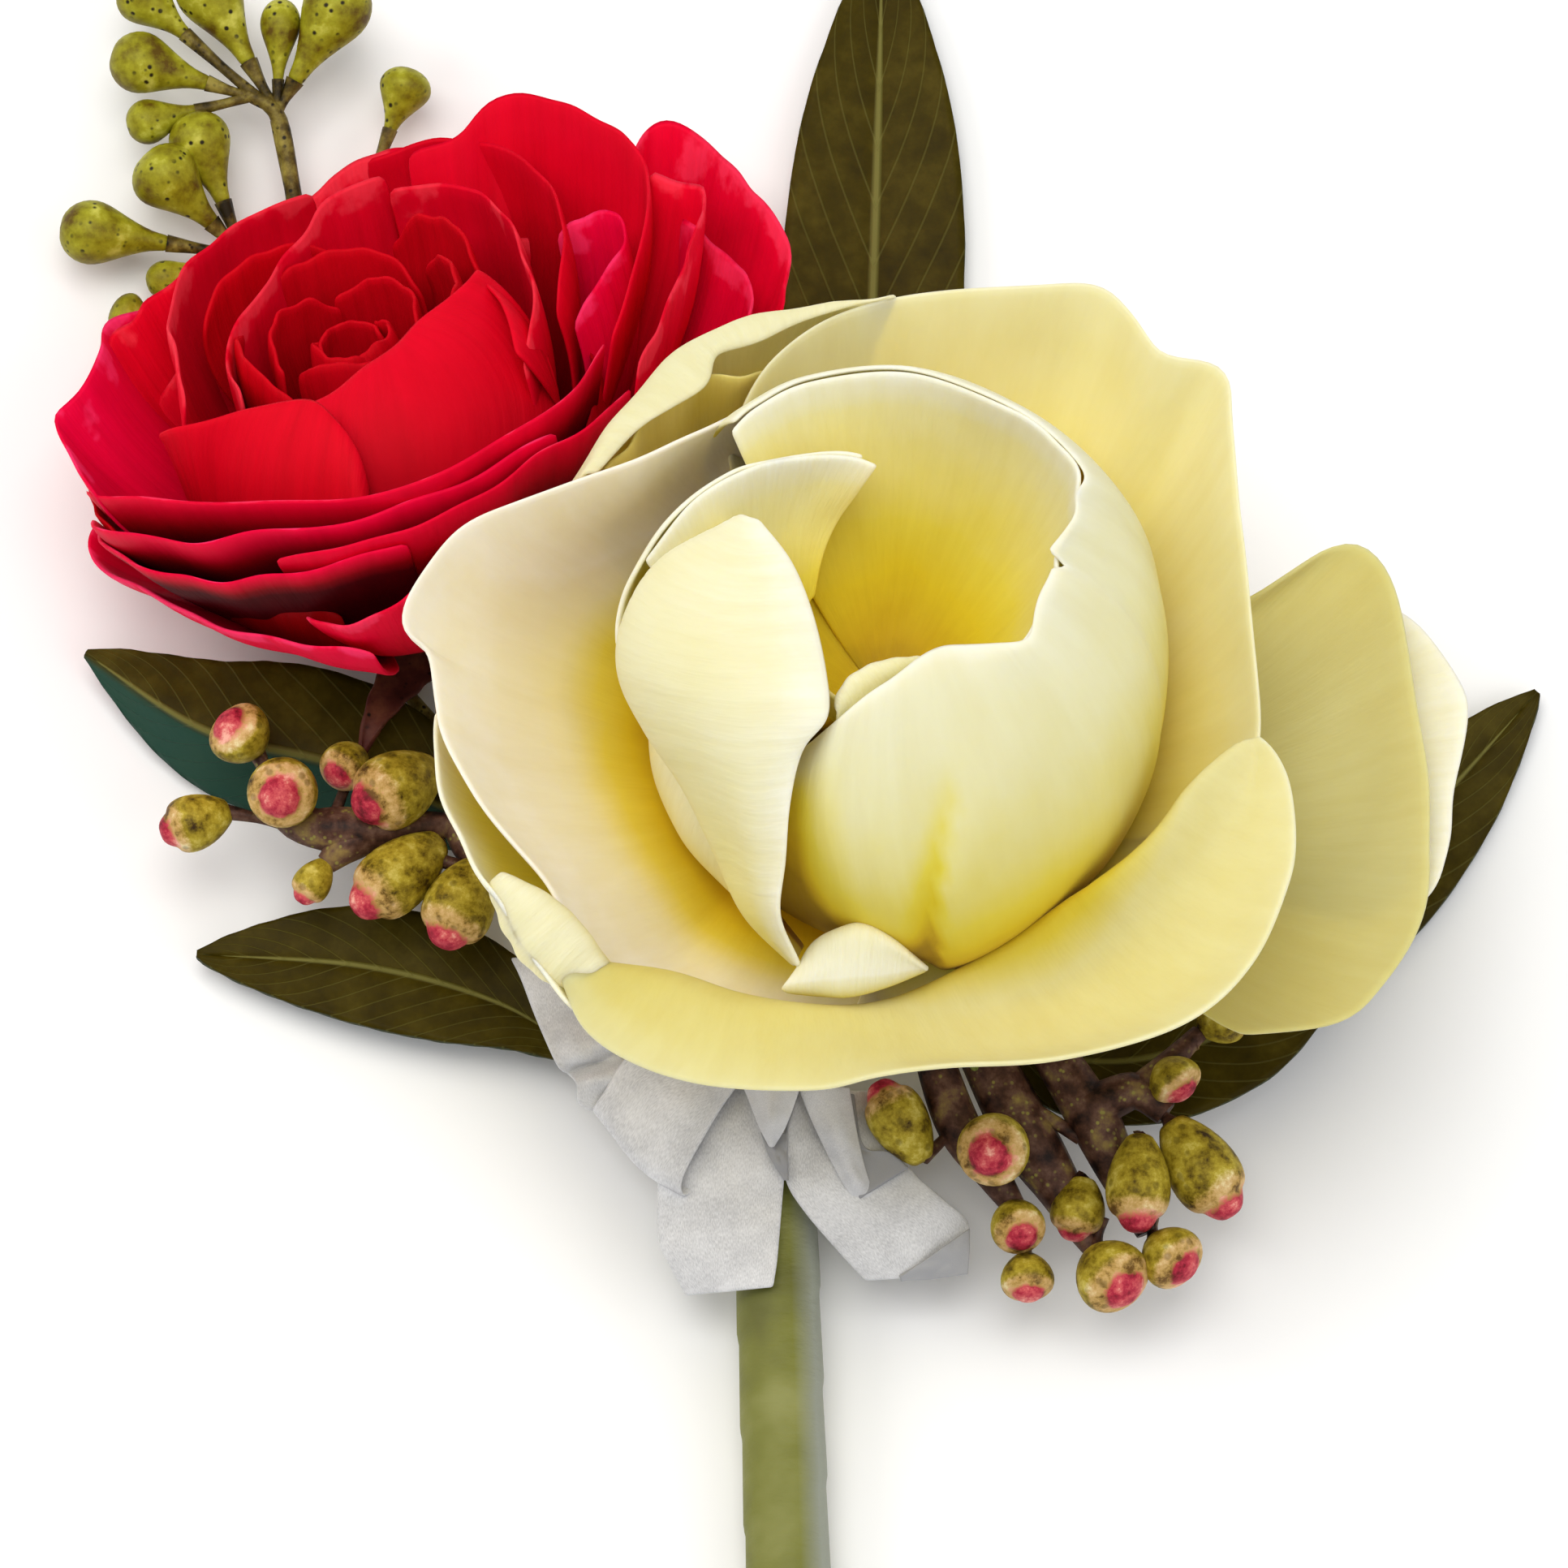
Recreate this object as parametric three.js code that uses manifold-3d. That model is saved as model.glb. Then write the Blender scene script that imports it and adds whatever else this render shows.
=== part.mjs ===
// A boutonniere lying on its back: a cream rose and a red rose with their calyces, five leaves,
// three budding sprigs, a taped stem and a satin bow. Millimetres. +X is to the right as it is
// worn, +Y runs from the cut stem to the tip of the top leaf, and +Z is up from the table.
// The pieces are laid out round the binding point, where the bow is tied.

import * as THREE from 'three';
import { mergeVertices } from 'three/addons/utils/BufferGeometryUtils.js';
import Module from 'manifold-3d';

const wasm = await Module();
wasm.setup();

// ---------------------------------------------------------------- driving dimensions

const gap = 0.3; // left between pieces that touch
const petalThickness = 0.7;
const leafThickness = 0.7;
const ribbonThickness = 0.6;
const fuseTolerance = 0.05; // how far a face may move as slivers are merged
const ribbonWidth = 10;

const roseStemRadius = 1.05;
const petioleRadius = 0.55;
const twigRadius = 0.75;
const budStalkRadius = 0.6;
const sepalThickness = 0.6;

// The taped stem is a straight sleeve: `cutEnd` and `mouth` are the ends of its axis.
const sleeve = {
  cutEnd: new THREE.Vector3(1.9, -47, 3.3),
  mouth: new THREE.Vector3(0.05, 7, 5.45),
  radius: 3.25,
  boreRadius: 2.62,
  mouthRadius: 5.2,
  flareLength: 13,
  sides: 18,
};
const stemSpacing = 1.22; // each rose stem's offset from the sleeve's axis
const petioleRing = 3.1; // radius at which the thin stems enter the mouth
const petioleDepth = 3.2; // how far they reach into it
const petioleSpread = 1.14; // how much further out they are where they leave it

// Each rose: where its petals start, its axis, and the direction that its azimuths count from.
const creamRose = { base: [8.3, 19.3, 20], axis: [0.04, 0.173, 0.985], zero: [1, 0, 0] };
const redRose = { base: [-25.4, 38.1, 7.5], axis: [-0.176, 0.625, 0.76], zero: [0.978, 0.198, 0.064] };
const petalRoot = [3, 1]; // radius and height of the ring that petals grow from

// The bow: its knot's place along the sleeve, and the band that goes round under the knot.
const bow = { knotAlong: 43.6, bandRadius: 4.2, bandHalfWidth: 2.4, knotHalfSize: [2.6, 2.7, 1.7] };

// ---------------------------------------------------------------- materials

function finish(color, roughness) {
  return new THREE.MeshStandardMaterial({ color, roughness, metalness: 0 });
}

const creamPetal = finish('#efe6be', 0.6);
const redPetal = finish('#c80826', 0.55);
const calyxGreen = finish('#6f7d34', 0.65);
const calyxBrown = finish('#5a2a22', 0.65);
const leafOlive = finish('#453a00', 0.5);
const budGreen = finish('#9a9818', 0.6);
const budPink = finish('#b0584e', 0.6);
const tapeGreen = finish('#7f8030', 0.75);
const satin = finish('#dcdce0', 0.4);

// ---------------------------------------------------------------- closed solids

// A three.js geometry as a solid that can be joined and cut.
function solid(geometry) {
  const bare = geometry.clone();
  bare.deleteAttribute('normal');
  bare.deleteAttribute('uv');
  const merged = mergeVertices(bare, 1e-4);
  const corners = merged.index.array;
  const triangles = [];
  for (let i = 0; i < corners.length; i += 3) {
    const [a, b, c] = [corners[i], corners[i + 1], corners[i + 2]];
    if (a !== b && b !== c && c !== a) triangles.push(a, b, c);
  }
  return new wasm.Manifold(new wasm.Mesh({
    numProp: 3,
    vertProperties: merged.attributes.position.array,
    triVerts: Uint32Array.from(triangles),
  }));
}

// The solids fused into one body. Loose scraps are dropped and sealed hollows filled.
function fuse(solids) {
  const whole = wasm.Manifold.union(solids).asOriginal().simplify(fuseTolerance);
  return whole.decompose().reduce((best, body) => (body.volume() > best.volume() ? body : best));
}

function geometryOf(body) {
  const { vertProperties, triVerts } = body.getMesh();
  const geometry = new THREE.BufferGeometry();
  geometry.setAttribute('position', new THREE.BufferAttribute(vertProperties, 3));
  geometry.setIndex(new THREE.BufferAttribute(triVerts, 1));
  geometry.computeVertexNormals();
  return geometry;
}

function node(name, solids, material) {
  const mesh = new THREE.Mesh(geometryOf(fuse(solids)), material);
  mesh.name = name;
  return mesh;
}

// A closed thin sheet. `surface(u, v)` is a point of its middle, with u from -1 to 1 across and
// v from 0 to 1 along. Both faces are split into triangles alike.
function sheet(surface, across, along, thickness) {
  const step = 1e-3;
  const top = [];
  const under = [];
  for (let j = 0; j <= along; j += 1) {
    for (let i = 0; i <= across; i += 1) {
      const u = (2 * i) / across - 1;
      const v = j / along;
      const du = surface(Math.min(1, u + step), v).sub(surface(Math.max(-1, u - step), v));
      const dv = surface(u, Math.min(1, v + step)).sub(surface(u, Math.max(0, v - step)));
      const offset = du.cross(dv).setLength(thickness / 2);
      top.push(surface(u, v).add(offset));
      under.push(surface(u, v).sub(offset));
    }
  }
  const row = across + 1;
  const layer = row * (along + 1);
  const index = [];
  for (let j = 0; j < along; j += 1) {
    for (let i = 0; i < across; i += 1) {
      const a = j * row + i;
      const [b, c, d] = [a + 1, a + row + 1, a + row];
      index.push(a, b, c, a, c, d);
      index.push(layer + a, layer + c, layer + b, layer + a, layer + d, layer + c);
    }
  }
  const rim = [];
  for (let i = 0; i < across; i += 1) rim.push(i);
  for (let j = 0; j < along; j += 1) rim.push(j * row + across);
  for (let i = across; i > 0; i -= 1) rim.push(along * row + i);
  for (let j = along; j > 0; j -= 1) rim.push(j * row);
  rim.forEach((a, k) => {
    const b = rim[(k + 1) % rim.length];
    index.push(a, layer + b, b, a, layer + a, layer + b);
  });
  const geometry = new THREE.BufferGeometry();
  const points = [...top, ...under].flatMap((p) => [p.x, p.y, p.z]);
  geometry.setAttribute('position', new THREE.Float32BufferAttribute(points, 3));
  geometry.setIndex(index);
  return solid(geometry);
}

function vectors(points) {
  return points.map((p) => (p.isVector3 ? p.clone() : new THREE.Vector3(...p)));
}

function curveThrough(points) {
  return new THREE.CatmullRomCurve3(vectors(points), false, 'centripetal');
}

// A round stem along a curve through the points.
function stem(points, radius, sides = 7, steps = 4 * (points.length - 1)) {
  const section = new THREE.Shape();
  for (let k = 0; k < sides; k += 1) {
    const angle = (2 * Math.PI * k) / sides;
    const corner = [radius * Math.cos(angle), radius * Math.sin(angle)];
    if (k === 0) section.moveTo(...corner);
    else section.lineTo(...corner);
  }
  section.closePath();
  const extrudePath = curveThrough(points);
  return solid(new THREE.ExtrudeGeometry(section, { steps, extrudePath, bevelEnabled: false }));
}

// A solid of revolution: `profile` lists [radius, height] from axis to axis, and the turned form
// stands at `from` and points along `direction`.
function turned(profile, from, direction, sides) {
  const outline = profile.map(([radius, height]) => new THREE.Vector2(radius, height));
  const geometry = new THREE.LatheGeometry(outline, sides);
  const turn = new THREE.Quaternion().setFromUnitVectors(
    new THREE.Vector3(0, 1, 0),
    direction.clone().normalize(),
  );
  geometry.applyQuaternion(turn);
  geometry.translate(from.x, from.y, from.z);
  return solid(geometry);
}

// ---------------------------------------------------------------- roses

// A rose's own frame: height h along its axis, and radius and azimuth (degrees) round it.
function roseFrame({ base, axis, zero }) {
  const up = new THREE.Vector3(...axis).normalize();
  const right = new THREE.Vector3(...zero);
  right.addScaledVector(up, -right.dot(up)).normalize();
  const ahead = up.clone().cross(right);
  const origin = new THREE.Vector3(...base);
  return (radius, azimuth, h) => {
    const angle = THREE.MathUtils.degToRad(azimuth);
    return origin.clone()
      .addScaledVector(up, h)
      .addScaledVector(right, radius * Math.cos(angle))
      .addScaledVector(ahead, radius * Math.sin(angle));
  };
}

// One petal, wrapped round the rose's axis. `profile` is its middle line as [radius, h] points
// from root to rim, `half` its half width in degrees. It is narrow at the claw, its rim drops at
// the shoulders, `lean` pushes one side out so that it laps its neighbour, `sides` draws each side
// of the rim in, `dent` flattens its middle, `slant` tilts it and `wave` ruffles it.
function petal(place, options) {
  const { azimuth, half, profile, claw = 0.4, drop = 0.2, square = 3, sides = [0, 0] } = options;
  const { lean = 0, dent = 0, wave = 0, waves = 2.5, slant = 0, grid = [6, 5] } = options;
  const line = new THREE.SplineCurve(profile.map(([r, h]) => new THREE.Vector2(r, h)));
  const surface = (u, v) => {
    const reach = v * (1 - drop * Math.abs(u) ** square);
    const point = line.getPointAt(Math.min(1, reach));
    const width = claw + (1 - claw) * THREE.MathUtils.smoothstep(reach, 0, 0.6);
    const drawnIn = sides[u < 0 ? 0 : 1] * Math.sin((Math.PI / 2) * u) ** 2 + dent * (1 - u * u);
    const ruffle = wave * Math.sin(waves * Math.PI * u + azimuth) * reach ** 3;
    const radius = point.x + lean * u * reach - drawnIn * reach ** 2 + ruffle;
    return place(radius, azimuth + half * u * width, point.y + slant * u * reach);
  };
  return sheet(surface, ...grid, petalThickness);
}

// The solid heart that the petals of a rose are rooted in, hidden among them.
function roseCore(place, profile) {
  return turned(profile, place(0, 0, 0), place(0, 0, 1).sub(place(0, 0, 0)), 12);
}

// Cream rose: a closed ball of broad petals, with a golden cup in it, inside open outer petals.
const ballRadius = 20.5;
const creamCore = [[0, 0], [4, 0], [11, 2.8], [15.5, 7.5], [15, 11], [11, 12.5], [0, 12.5]];

function ballLine(radius, height, out = 0) {
  const widest = ballRadius + out;
  return [petalRoot, [widest - 7, 2.4], [widest, 12], [widest - 0.4, 23], [radius, height]];
}

function openLine(radius, height, belly = 24) {
  return [petalRoot, [14.8, 1.4], [belly, height * 0.4], [radius, height]];
}

function heartLine(radius, height) {
  return [petalRoot, [radius + 1, height * 0.6], [radius, height]];
}

const smallTip = [petalRoot, [15.5, 1.8], [21.8, 7], [22.6, 14.5]];
const outermost = [petalRoot, [14.8, 0.6], [29, 1], [44.4, 6]];

const creamPetals = [
  // heart
  { azimuth: 60, half: 66, profile: heartLine(6.4, 19), lean: 0.9, grid: [4, 3] },
  { azimuth: 180, half: 66, profile: heartLine(7, 20), lean: 0.9, grid: [4, 3] },
  { azimuth: 300, half: 66, profile: heartLine(6.8, 18), lean: 0.9, grid: [4, 3] },
  // ball
  { azimuth: 90, half: 72, profile: ballLine(16.5, 33.5), lean: 0.9, drop: 0.12, grid: [8, 6] },
  { azimuth: 142, half: 54, profile: ballLine(13, 33, -0.3), lean: 0.5, drop: 0.14, grid: [6, 6] },
  { azimuth: 300, half: 58, profile: ballLine(8.6, 33), lean: 0.4, drop: 0.12, square: 4, grid: [7, 6] },
  { azimuth: 352, half: 68, profile: ballLine(14, 34, 0.9), drop: 0.14, grid: [8, 6] },
  { azimuth: 198, half: 63, profile: ballLine(11.5, 32, 1), claw: 0.7, drop: 0.16, grid: [7, 6] },
  // open outer petals
  { azimuth: 267, half: 15, profile: smallTip, drop: 0.45, square: 2, grid: [4, 4] },
  {
    azimuth: 47, half: 54, profile: openLine(33.6, 24.5, 25), drop: 0.08, sides: [7.5, 7], grid: [8, 5],
  },
  { azimuth: 118, half: 38, profile: [...openLine(25.5, 24, 23), [28.5, 24.6]], lean: -2 },
  {
    azimuth: 176, half: 40, profile: [...openLine(34, 24), [37.6, 25.2]], drop: 0.1, sides: [16, 3],
    grid: [8, 6],
  },
  { azimuth: 214, half: 24, profile: openLine(36.4, 17, 26), lean: -1, wave: 0.4, grid: [4, 4] },
  { azimuth: 252, half: 36, profile: [...openLine(30.5, 12.5, 25), [33.6, 14.2]], lean: 1 },
  {
    azimuth: 312, half: 40, profile: [...openLine(34, 16.5, 26), [37, 17.5]], lean: -1.5, slant: 2,
    grid: [7, 5],
  },
  {
    azimuth: 353, half: 35, profile: openLine(41.2, 9, 28), drop: 0.1, square: 5, lean: -0.4,
    grid: [6, 4],
  },
  { azimuth: 3, half: 20, profile: outermost, drop: 0.3, grid: [4, 3] },
  { azimuth: 95, half: 34, profile: openLine(27, 14, 22), grid: [5, 4] },
  { azimuth: 158, half: 30, profile: openLine(26.2, 11.6, 21.6), grid: [4, 4] },
];

function creamBloom() {
  const place = roseFrame(creamRose);
  const petals = creamPetals.map((options) => petal(place, options));
  return node('cream_bloom', [roseCore(place, creamCore), ...petals], creamPetal);
}

// Red rose: many small petals in close rings, fuller towards the viewer than on the far side,
// where they rise steeply to stay off the table.
const redCore = [[0, 0], [4, 0], [8, 4], [10.5, 9], [9.5, 13], [5, 15.5], [0, 15.5]];

function cupLine(radius, height, belly) {
  const [rootRadius] = petalRoot;
  return [
    petalRoot,
    [Math.max(rootRadius + 0.5, radius * (0.3 + 0.35 * belly)), height * 0.22],
    [radius * (0.64 + 0.38 * belly), height * 0.6],
    [radius, height],
  ];
}

// azimuth, half width, rim radius, rim height, belly, and what else is special about the petal
const redPetals = [
  // heart
  [100, 78, 2.6, 19, 1], [220, 76, 3, 19.5, 1], [340, 76, 3.4, 19, 1],
  [30, 56, 6.6, 21.5, 1], [118, 56, 6.8, 22, 1], [200, 54, 6.9, 21.5, 1], [285, 52, 6.4, 21, 1],
  // the large front petal, and those round it
  [307, 72, 10.2, 25, 1, { dent: 5, drop: 0.1, grid: [6, 4] }],
  [12, 42, 14.8, 25, 1], [68, 40, 13.4, 25.5, 0.7], [122, 42, 13.2, 25, 0.6], [176, 38, 13.6, 24.5, 0.8],
  [218, 38, 14.6, 24, 1, { lean: -2 }],
  // third ring
  [38, 32, 20, 27, 0.7], [88, 34, 20.5, 26, 0.45], [138, 34, 20, 24, 0.45], [178, 30, 20.2, 22.5, 0.7],
  [345, 30, 17, 22, 0.9], [232, 34, 18.6, 24, 1], [286, 34, 18.4, 23.5, 1],
  // outer rim, from the right round the far side to the left
  [8, 22, 33, 18, 0.45], [3, 20, 28.2, 20.5, 0.6], [24, 30, 32.4, 26, 0.5, { drop: 0.14, square: 4 }],
  [58, 28, 29.8, 28, 0.4, { drop: 0.26 }], [78, 24, 28.6, 25.5, 0.35], [102, 28, 27, 23.6, 0.3],
  [146, 32, 28.4, 18.5, 0.35, { wave: 0.5 }],
  // outer rim on the near side, one under another
  [204, 38, 24.2, 19.5, 0.8, { slant: 3 }], [262, 34, 22.4, 23.5, 1], [318, 30, 16.8, 16, 0.9],
  [236, 36, 23.8, 20.5, 1, { wave: 0.4 }], [250, 32, 24.8, 17.8, 0.9], [264, 20, 23.8, 14, 0.8],
  [222, 42, 22.8, 8.4, 0.4, { drop: 0.3 }],
];

function redBloom() {
  const place = roseFrame(redRose);
  const petals = redPetals.map(([azimuth, half, radius, height, belly, extra = {}]) => {
    const profile = cupLine(radius, height, belly);
    return petal(place, { azimuth, half, profile, lean: 0.8, grid: [4, 4], ...extra });
  });
  return node('red_bloom', [roseCore(place, redCore), ...petals], redPetal);
}

// ---------------------------------------------------------------- taped stem

// A point inside the sleeve: `along` from its cut end, `x` and `z` off its axis.
function inSleeve(along, x, z) {
  const axis = sleeve.mouth.clone().sub(sleeve.cutEnd);
  return sleeve.cutEnd.clone()
    .addScaledVector(axis, along / axis.length())
    .add(new THREE.Vector3(x, 0, z));
}

const sleeveLength = sleeve.mouth.distanceTo(sleeve.cutEnd);

function stemTape() {
  const wall = sleeve.radius - sleeve.boreRadius;
  const flareStart = sleeveLength - sleeve.flareLength;
  const flareMiddle = sleeveLength - sleeve.flareLength * 0.4;
  const middleRadius = (sleeve.radius + sleeve.mouthRadius) / 2;
  const profile = [
    [sleeve.boreRadius, 0],
    [sleeve.radius, 0],
    [sleeve.radius, flareStart],
    [middleRadius, flareMiddle],
    [sleeve.mouthRadius, sleeveLength],
    [sleeve.mouthRadius - wall, sleeveLength],
    [middleRadius - wall, flareMiddle],
    [sleeve.boreRadius, flareStart],
    [sleeve.boreRadius, 0],
  ];
  const axis = sleeve.mouth.clone().sub(sleeve.cutEnd);
  return node('stem_tape', [turned(profile, sleeve.cutEnd, axis, sleeve.sides)], tapeGreen);
}

// Where a thin stem ends inside the mouth, and where it leaves it. `turn` is its place round the
// bundle in degrees, counted from +X towards +Z.
function bound(turn) {
  const angle = THREE.MathUtils.degToRad(turn);
  const x = petioleRing * Math.cos(angle);
  const z = petioleRing * Math.sin(angle);
  return [
    inSleeve(sleeveLength - petioleDepth, x, z),
    inSleeve(sleeveLength + 1.4, x * petioleSpread, z * petioleSpread),
  ];
}

// ---------------------------------------------------------------- calyces

// A narrow blade under the petals, along the points.
function sepal(points, width) {
  const line = curveThrough(points);
  const surface = (u, v) => {
    const point = line.getPointAt(v);
    const side = line.getTangentAt(v).cross(new THREE.Vector3(0, 0, 1)).normalize();
    const half = (width / 2) * (1 - 0.85 * v ** 1.5);
    return point.addScaledVector(side, u * half).add(new THREE.Vector3(0, 0, 0.25 * u * u));
  };
  return sheet(surface, 2, 4, sepalThickness);
}

function hip(place, height) {
  const profile = [
    [0, -height], [roseStemRadius + 0.2, -height], [2.6, -height * 0.75], [3.7, -height * 0.45],
    [3.8, -height * 0.25], [3.2, -gap], [0, -gap],
  ];
  return turned(profile, place(0, 0, 0), place(0, 0, 1).sub(place(0, 0, 0)), 10);
}

// The lower part of a rose's stem, straight through the sleeve on the side given by `offset`.
function stemInSleeve(offset) {
  const marks = [sleeveLength + 0.6, sleeveLength - 4, sleeveLength * 0.5, -0.8];
  return marks.map((along) => inSleeve(along, offset, 0));
}

function creamCalyx() {
  const place = roseFrame(creamRose);
  const ring = [[35, 13.5], [105, 12.5], [178, 13.5], [240, 13]].map(([azimuth, reach]) => sepal(
    [place(2.6, azimuth, -2.2), place(6, azimuth, -1.9), place(reach, azimuth, -1.4)],
    4.6,
  ));
  const fallen = sepal([place(2.6, 285, -2), [10.6, 12.5, 17], [13.8, 4.5, 14.8], [16, -1.4, 11.8]], 4.4);
  const line = [
    place(0, 0, -7), place(0, 0, -10), [6.6, 15.8, 7.4], [3.6, 12.2, 5.8],
    ...stemInSleeve(stemSpacing),
  ];
  const solids = [hip(place, 8.5), ...ring, fallen, stem(line, roseStemRadius, 7, 30)];
  return node('cream_calyx', solids, calyxGreen);
}

function redCalyx() {
  const place = roseFrame(redRose);
  const ring = [[10, 9], [182, 10]].map(([azimuth, reach]) => sepal(
    [place(2.6, azimuth, -2.1), place(5, azimuth, -2.2), place(reach, azimuth, -1.8)],
    4.2,
  ));
  const fallen = [
    sepal([place(2.6, 240, -2.2), [-28.4, 31.4, 8.6], [-30.4, 27.6, 9.6], [-31.4, 25, 9]], 4.8),
    sepal([place(2.6, 290, -2.2), [-24, 30.6, 8.6], [-24.6, 27, 9], [-25.6, 23.8, 8.4]], 4.8),
  ];
  const line = [
    place(0, 0, -4), place(0, 0, -5.6), [-20.8, 30.6, 2.5], [-12.4, 21.6, 3], [-4.2, 13, 4.6],
    ...stemInSleeve(-stemSpacing),
  ];
  const solids = [hip(place, 5), ...ring, ...fallen, stem(line, roseStemRadius, 7, 36)];
  return node('red_calyx', solids, calyxBrown);
}

// ---------------------------------------------------------------- leaves

// A leaf: its stalk runs from the mouth of the sleeve through `stalk` to the first point of
// `midrib`. `fold` lifts both halves off the midrib and `bank` turns the blade round it, in degrees.
function leaf(name, { turn, stalk = [], midrib, width, fold = 8, bank = 0, fullest = 0.5 }) {
  const line = curveThrough(midrib);
  const bankAngle = THREE.MathUtils.degToRad(bank);
  const foldAngle = THREE.MathUtils.degToRad(fold);
  const surface = (u, v) => {
    const tangent = line.getTangentAt(v);
    const side = tangent.clone().cross(new THREE.Vector3(0, 0, 1)).normalize();
    const up = side.clone().cross(tangent);
    side.applyAxisAngle(tangent, bankAngle);
    up.applyAxisAngle(tangent, bankAngle);
    const power = Math.log(0.5) / Math.log(fullest);
    const half = 0.35 + (width / 2 - 0.35) * Math.sin(Math.PI * v ** power) ** 0.85;
    return line.getPointAt(v)
      .addScaledVector(side, u * half * Math.cos(foldAngle))
      .addScaledVector(up, Math.abs(u) * half * Math.sin(foldAngle));
  };
  const blade = sheet(surface, 4, 11, leafThickness);
  const route = [...bound(turn), ...stalk, line.getPointAt(0), line.getPointAt(0.06)];
  const petiole = stem(route, petioleRadius, 6, 10);
  return node(name, [blade, petiole], leafOlive);
}

const leaves = {
  leaf_top: {
    turn: 270, stalk: [[2.6, 18, 1.5]], width: 14.6, fold: 7, fullest: 0.55,
    midrib: [[5.4, 32, 0.9], [7.6, 50, 0.6], [8.4, 68, 1], [8.9, 84, 1.4], [9.2, 97, 1]],
  },
  leaf_left_upper: {
    turn: 155, stalk: [[-9, 13.4, 6.6]], width: 14.6, fold: -32, bank: -32, fullest: 0.5,
    midrib: [[-18, 18.4, 6.4], [-32.4, 24.6, 6.7], [-43.6, 27.8, 6.5], [-53.2, 35.2, 3.4]],
  },
  leaf_left_lower: {
    turn: 190, stalk: [[-7.4, 7.6, 4.6]], width: 10, fold: 6, fullest: 0.5,
    midrib: [[-13.6, 1.8, 4], [-20.6, 6.4, 4], [-31, 9.6, 3.4], [-44.2, 10.9, 2.4]],
  },
  leaf_right: {
    turn: 315, stalk: [[8.5, 8.6, 2.8]], width: 12, fold: 5, fullest: 0.55,
    midrib: [[20, 5, 1.6], [34.6, 8.6, 1], [44.4, 15.4, 0.6], [52.2, 23.6, 0.9], [60.2, 32.6, 1.6]],
  },
  leaf_lower_right: {
    turn: 348, stalk: [[8, 8.6, 5.2]], width: 11, fold: 6, fullest: 0.5,
    midrib: [[14, 4.8, 6.4], [25, 0.9, 6.8], [35.4, 3.4, 6.6], [45.8, 11, 5.6]],
  },
};

// ---------------------------------------------------------------- sprigs of buds

// [radius, height] for a bud of unit length and unit greatest radius, from stalk to tip.
const pearBud = [[0, 0], [0.28, 0], [0.5, 0.3], [1, 0.68], [0.72, 0.93], [0, 1]];
const cappedBud = [[0, 0], [0.3, 0], [0.95, 0.35], [1, 0.7], [0.55, 0.96], [0, 1]];

// A bud on its own short stalk from `from`, with its thickest part at `at`. It points on along the
// stalk, or along `lie`.
function bud(shape, { from, at, radius, length = 2.1 * radius, lie }) {
  const [start, middle] = vectors([from, at]);
  const direction = lie ? new THREE.Vector3(...lie) : middle.clone().sub(start);
  direction.normalize();
  const root = middle.clone().addScaledVector(direction, -0.6 * length);
  const neck = root.clone().addScaledVector(direction, 0.5);
  const profile = shape.map(([r, h]) => [r * radius, h * length]);
  return [turned(profile, root, direction, 6), stem([start, neck], budStalkRadius, 4, 1)];
}

// A sprig: its main twig from the sleeve through `main`, side twigs, and buds.
function sprig(name, { turn, main, twigs = [], buds, shape }, material) {
  const solids = [stem([...bound(turn), ...main], petioleRadius, 6, 3 * (main.length + 1))];
  twigs.forEach((points) => solids.push(stem(points, twigRadius, 6, 2 * (points.length - 1))));
  buds.forEach((options) => solids.push(...bud(shape, options)));
  return node(name, solids, material);
}

const upperSprig = {
  turn: 225,
  shape: pearBud,
  main: [
    [-8, 13.4, 1.9], [-18.5, 22.6, 1.5], [-31, 37, 0.9], [-35.4, 55, 0.85], [-36.6, 68, 3],
    [-38.8, 79, 5.6],
  ],
  twigs: [
    [[-36.6, 67, 2.8], [-37.6, 74, 4.6], [-38.8, 79.4, 5.8], [-41.2, 81, 6]],
    [[-35.4, 55, 0.85], [-38.6, 63, 1.3], [-41.6, 68.6, 3.6]],
    [[-35.2, 54, 0.85], [-32.6, 64, 1.3], [-31.4, 75, 3.4]],
    [[-35.4, 57, 1], [-43, 60, 1.4], [-47.6, 62.2, 2.6]],
  ],
  buds: [
    { from: [-38.8, 79.6, 5.8], at: [-34.6, 86.8, 7.4], radius: 2.9, length: 10 },
    { from: [-38.8, 79.6, 5.8], at: [-38.6, 86, 6.6], radius: 1.7, length: 7 },
    { from: [-39, 80, 5.8], at: [-43.8, 88.6, 6.6], radius: 2.8, length: 10 },
    { from: [-40.4, 80.8, 6], at: [-49, 88.6, 6.4], radius: 2.3, length: 7 },
    { from: [-40.8, 80.8, 6], at: [-48.8, 83.2, 6.6], radius: 2.6, length: 8.4 },
    { from: [-41, 80.8, 6], at: [-48.4, 79, 5.6], radius: 1.9, length: 6 },
    { from: [-41.4, 68.4, 3.6], at: [-44.6, 76.6, 5.2], radius: 2.6, length: 8 },
    { from: [-41.4, 68.4, 3.6], at: [-47, 73.6, 5.8], radius: 2.9, length: 8 },
    { from: [-41.4, 68.4, 3.6], at: [-52.4, 69.8, 4.4], radius: 2.7, length: 9 },
    { from: [-41.4, 68.2, 3.6], at: [-47, 66.6, 3.2], radius: 1.6, length: 5.4 },
    { from: [-31.4, 74.6, 3.4], at: [-28.9, 81.6, 4.4], radius: 2.2, length: 5.6 },
    { from: [-47.4, 62, 2.6], at: [-50.2, 63.4, 2.8], radius: 1.9, length: 4.4 },
  ],
};

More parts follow.
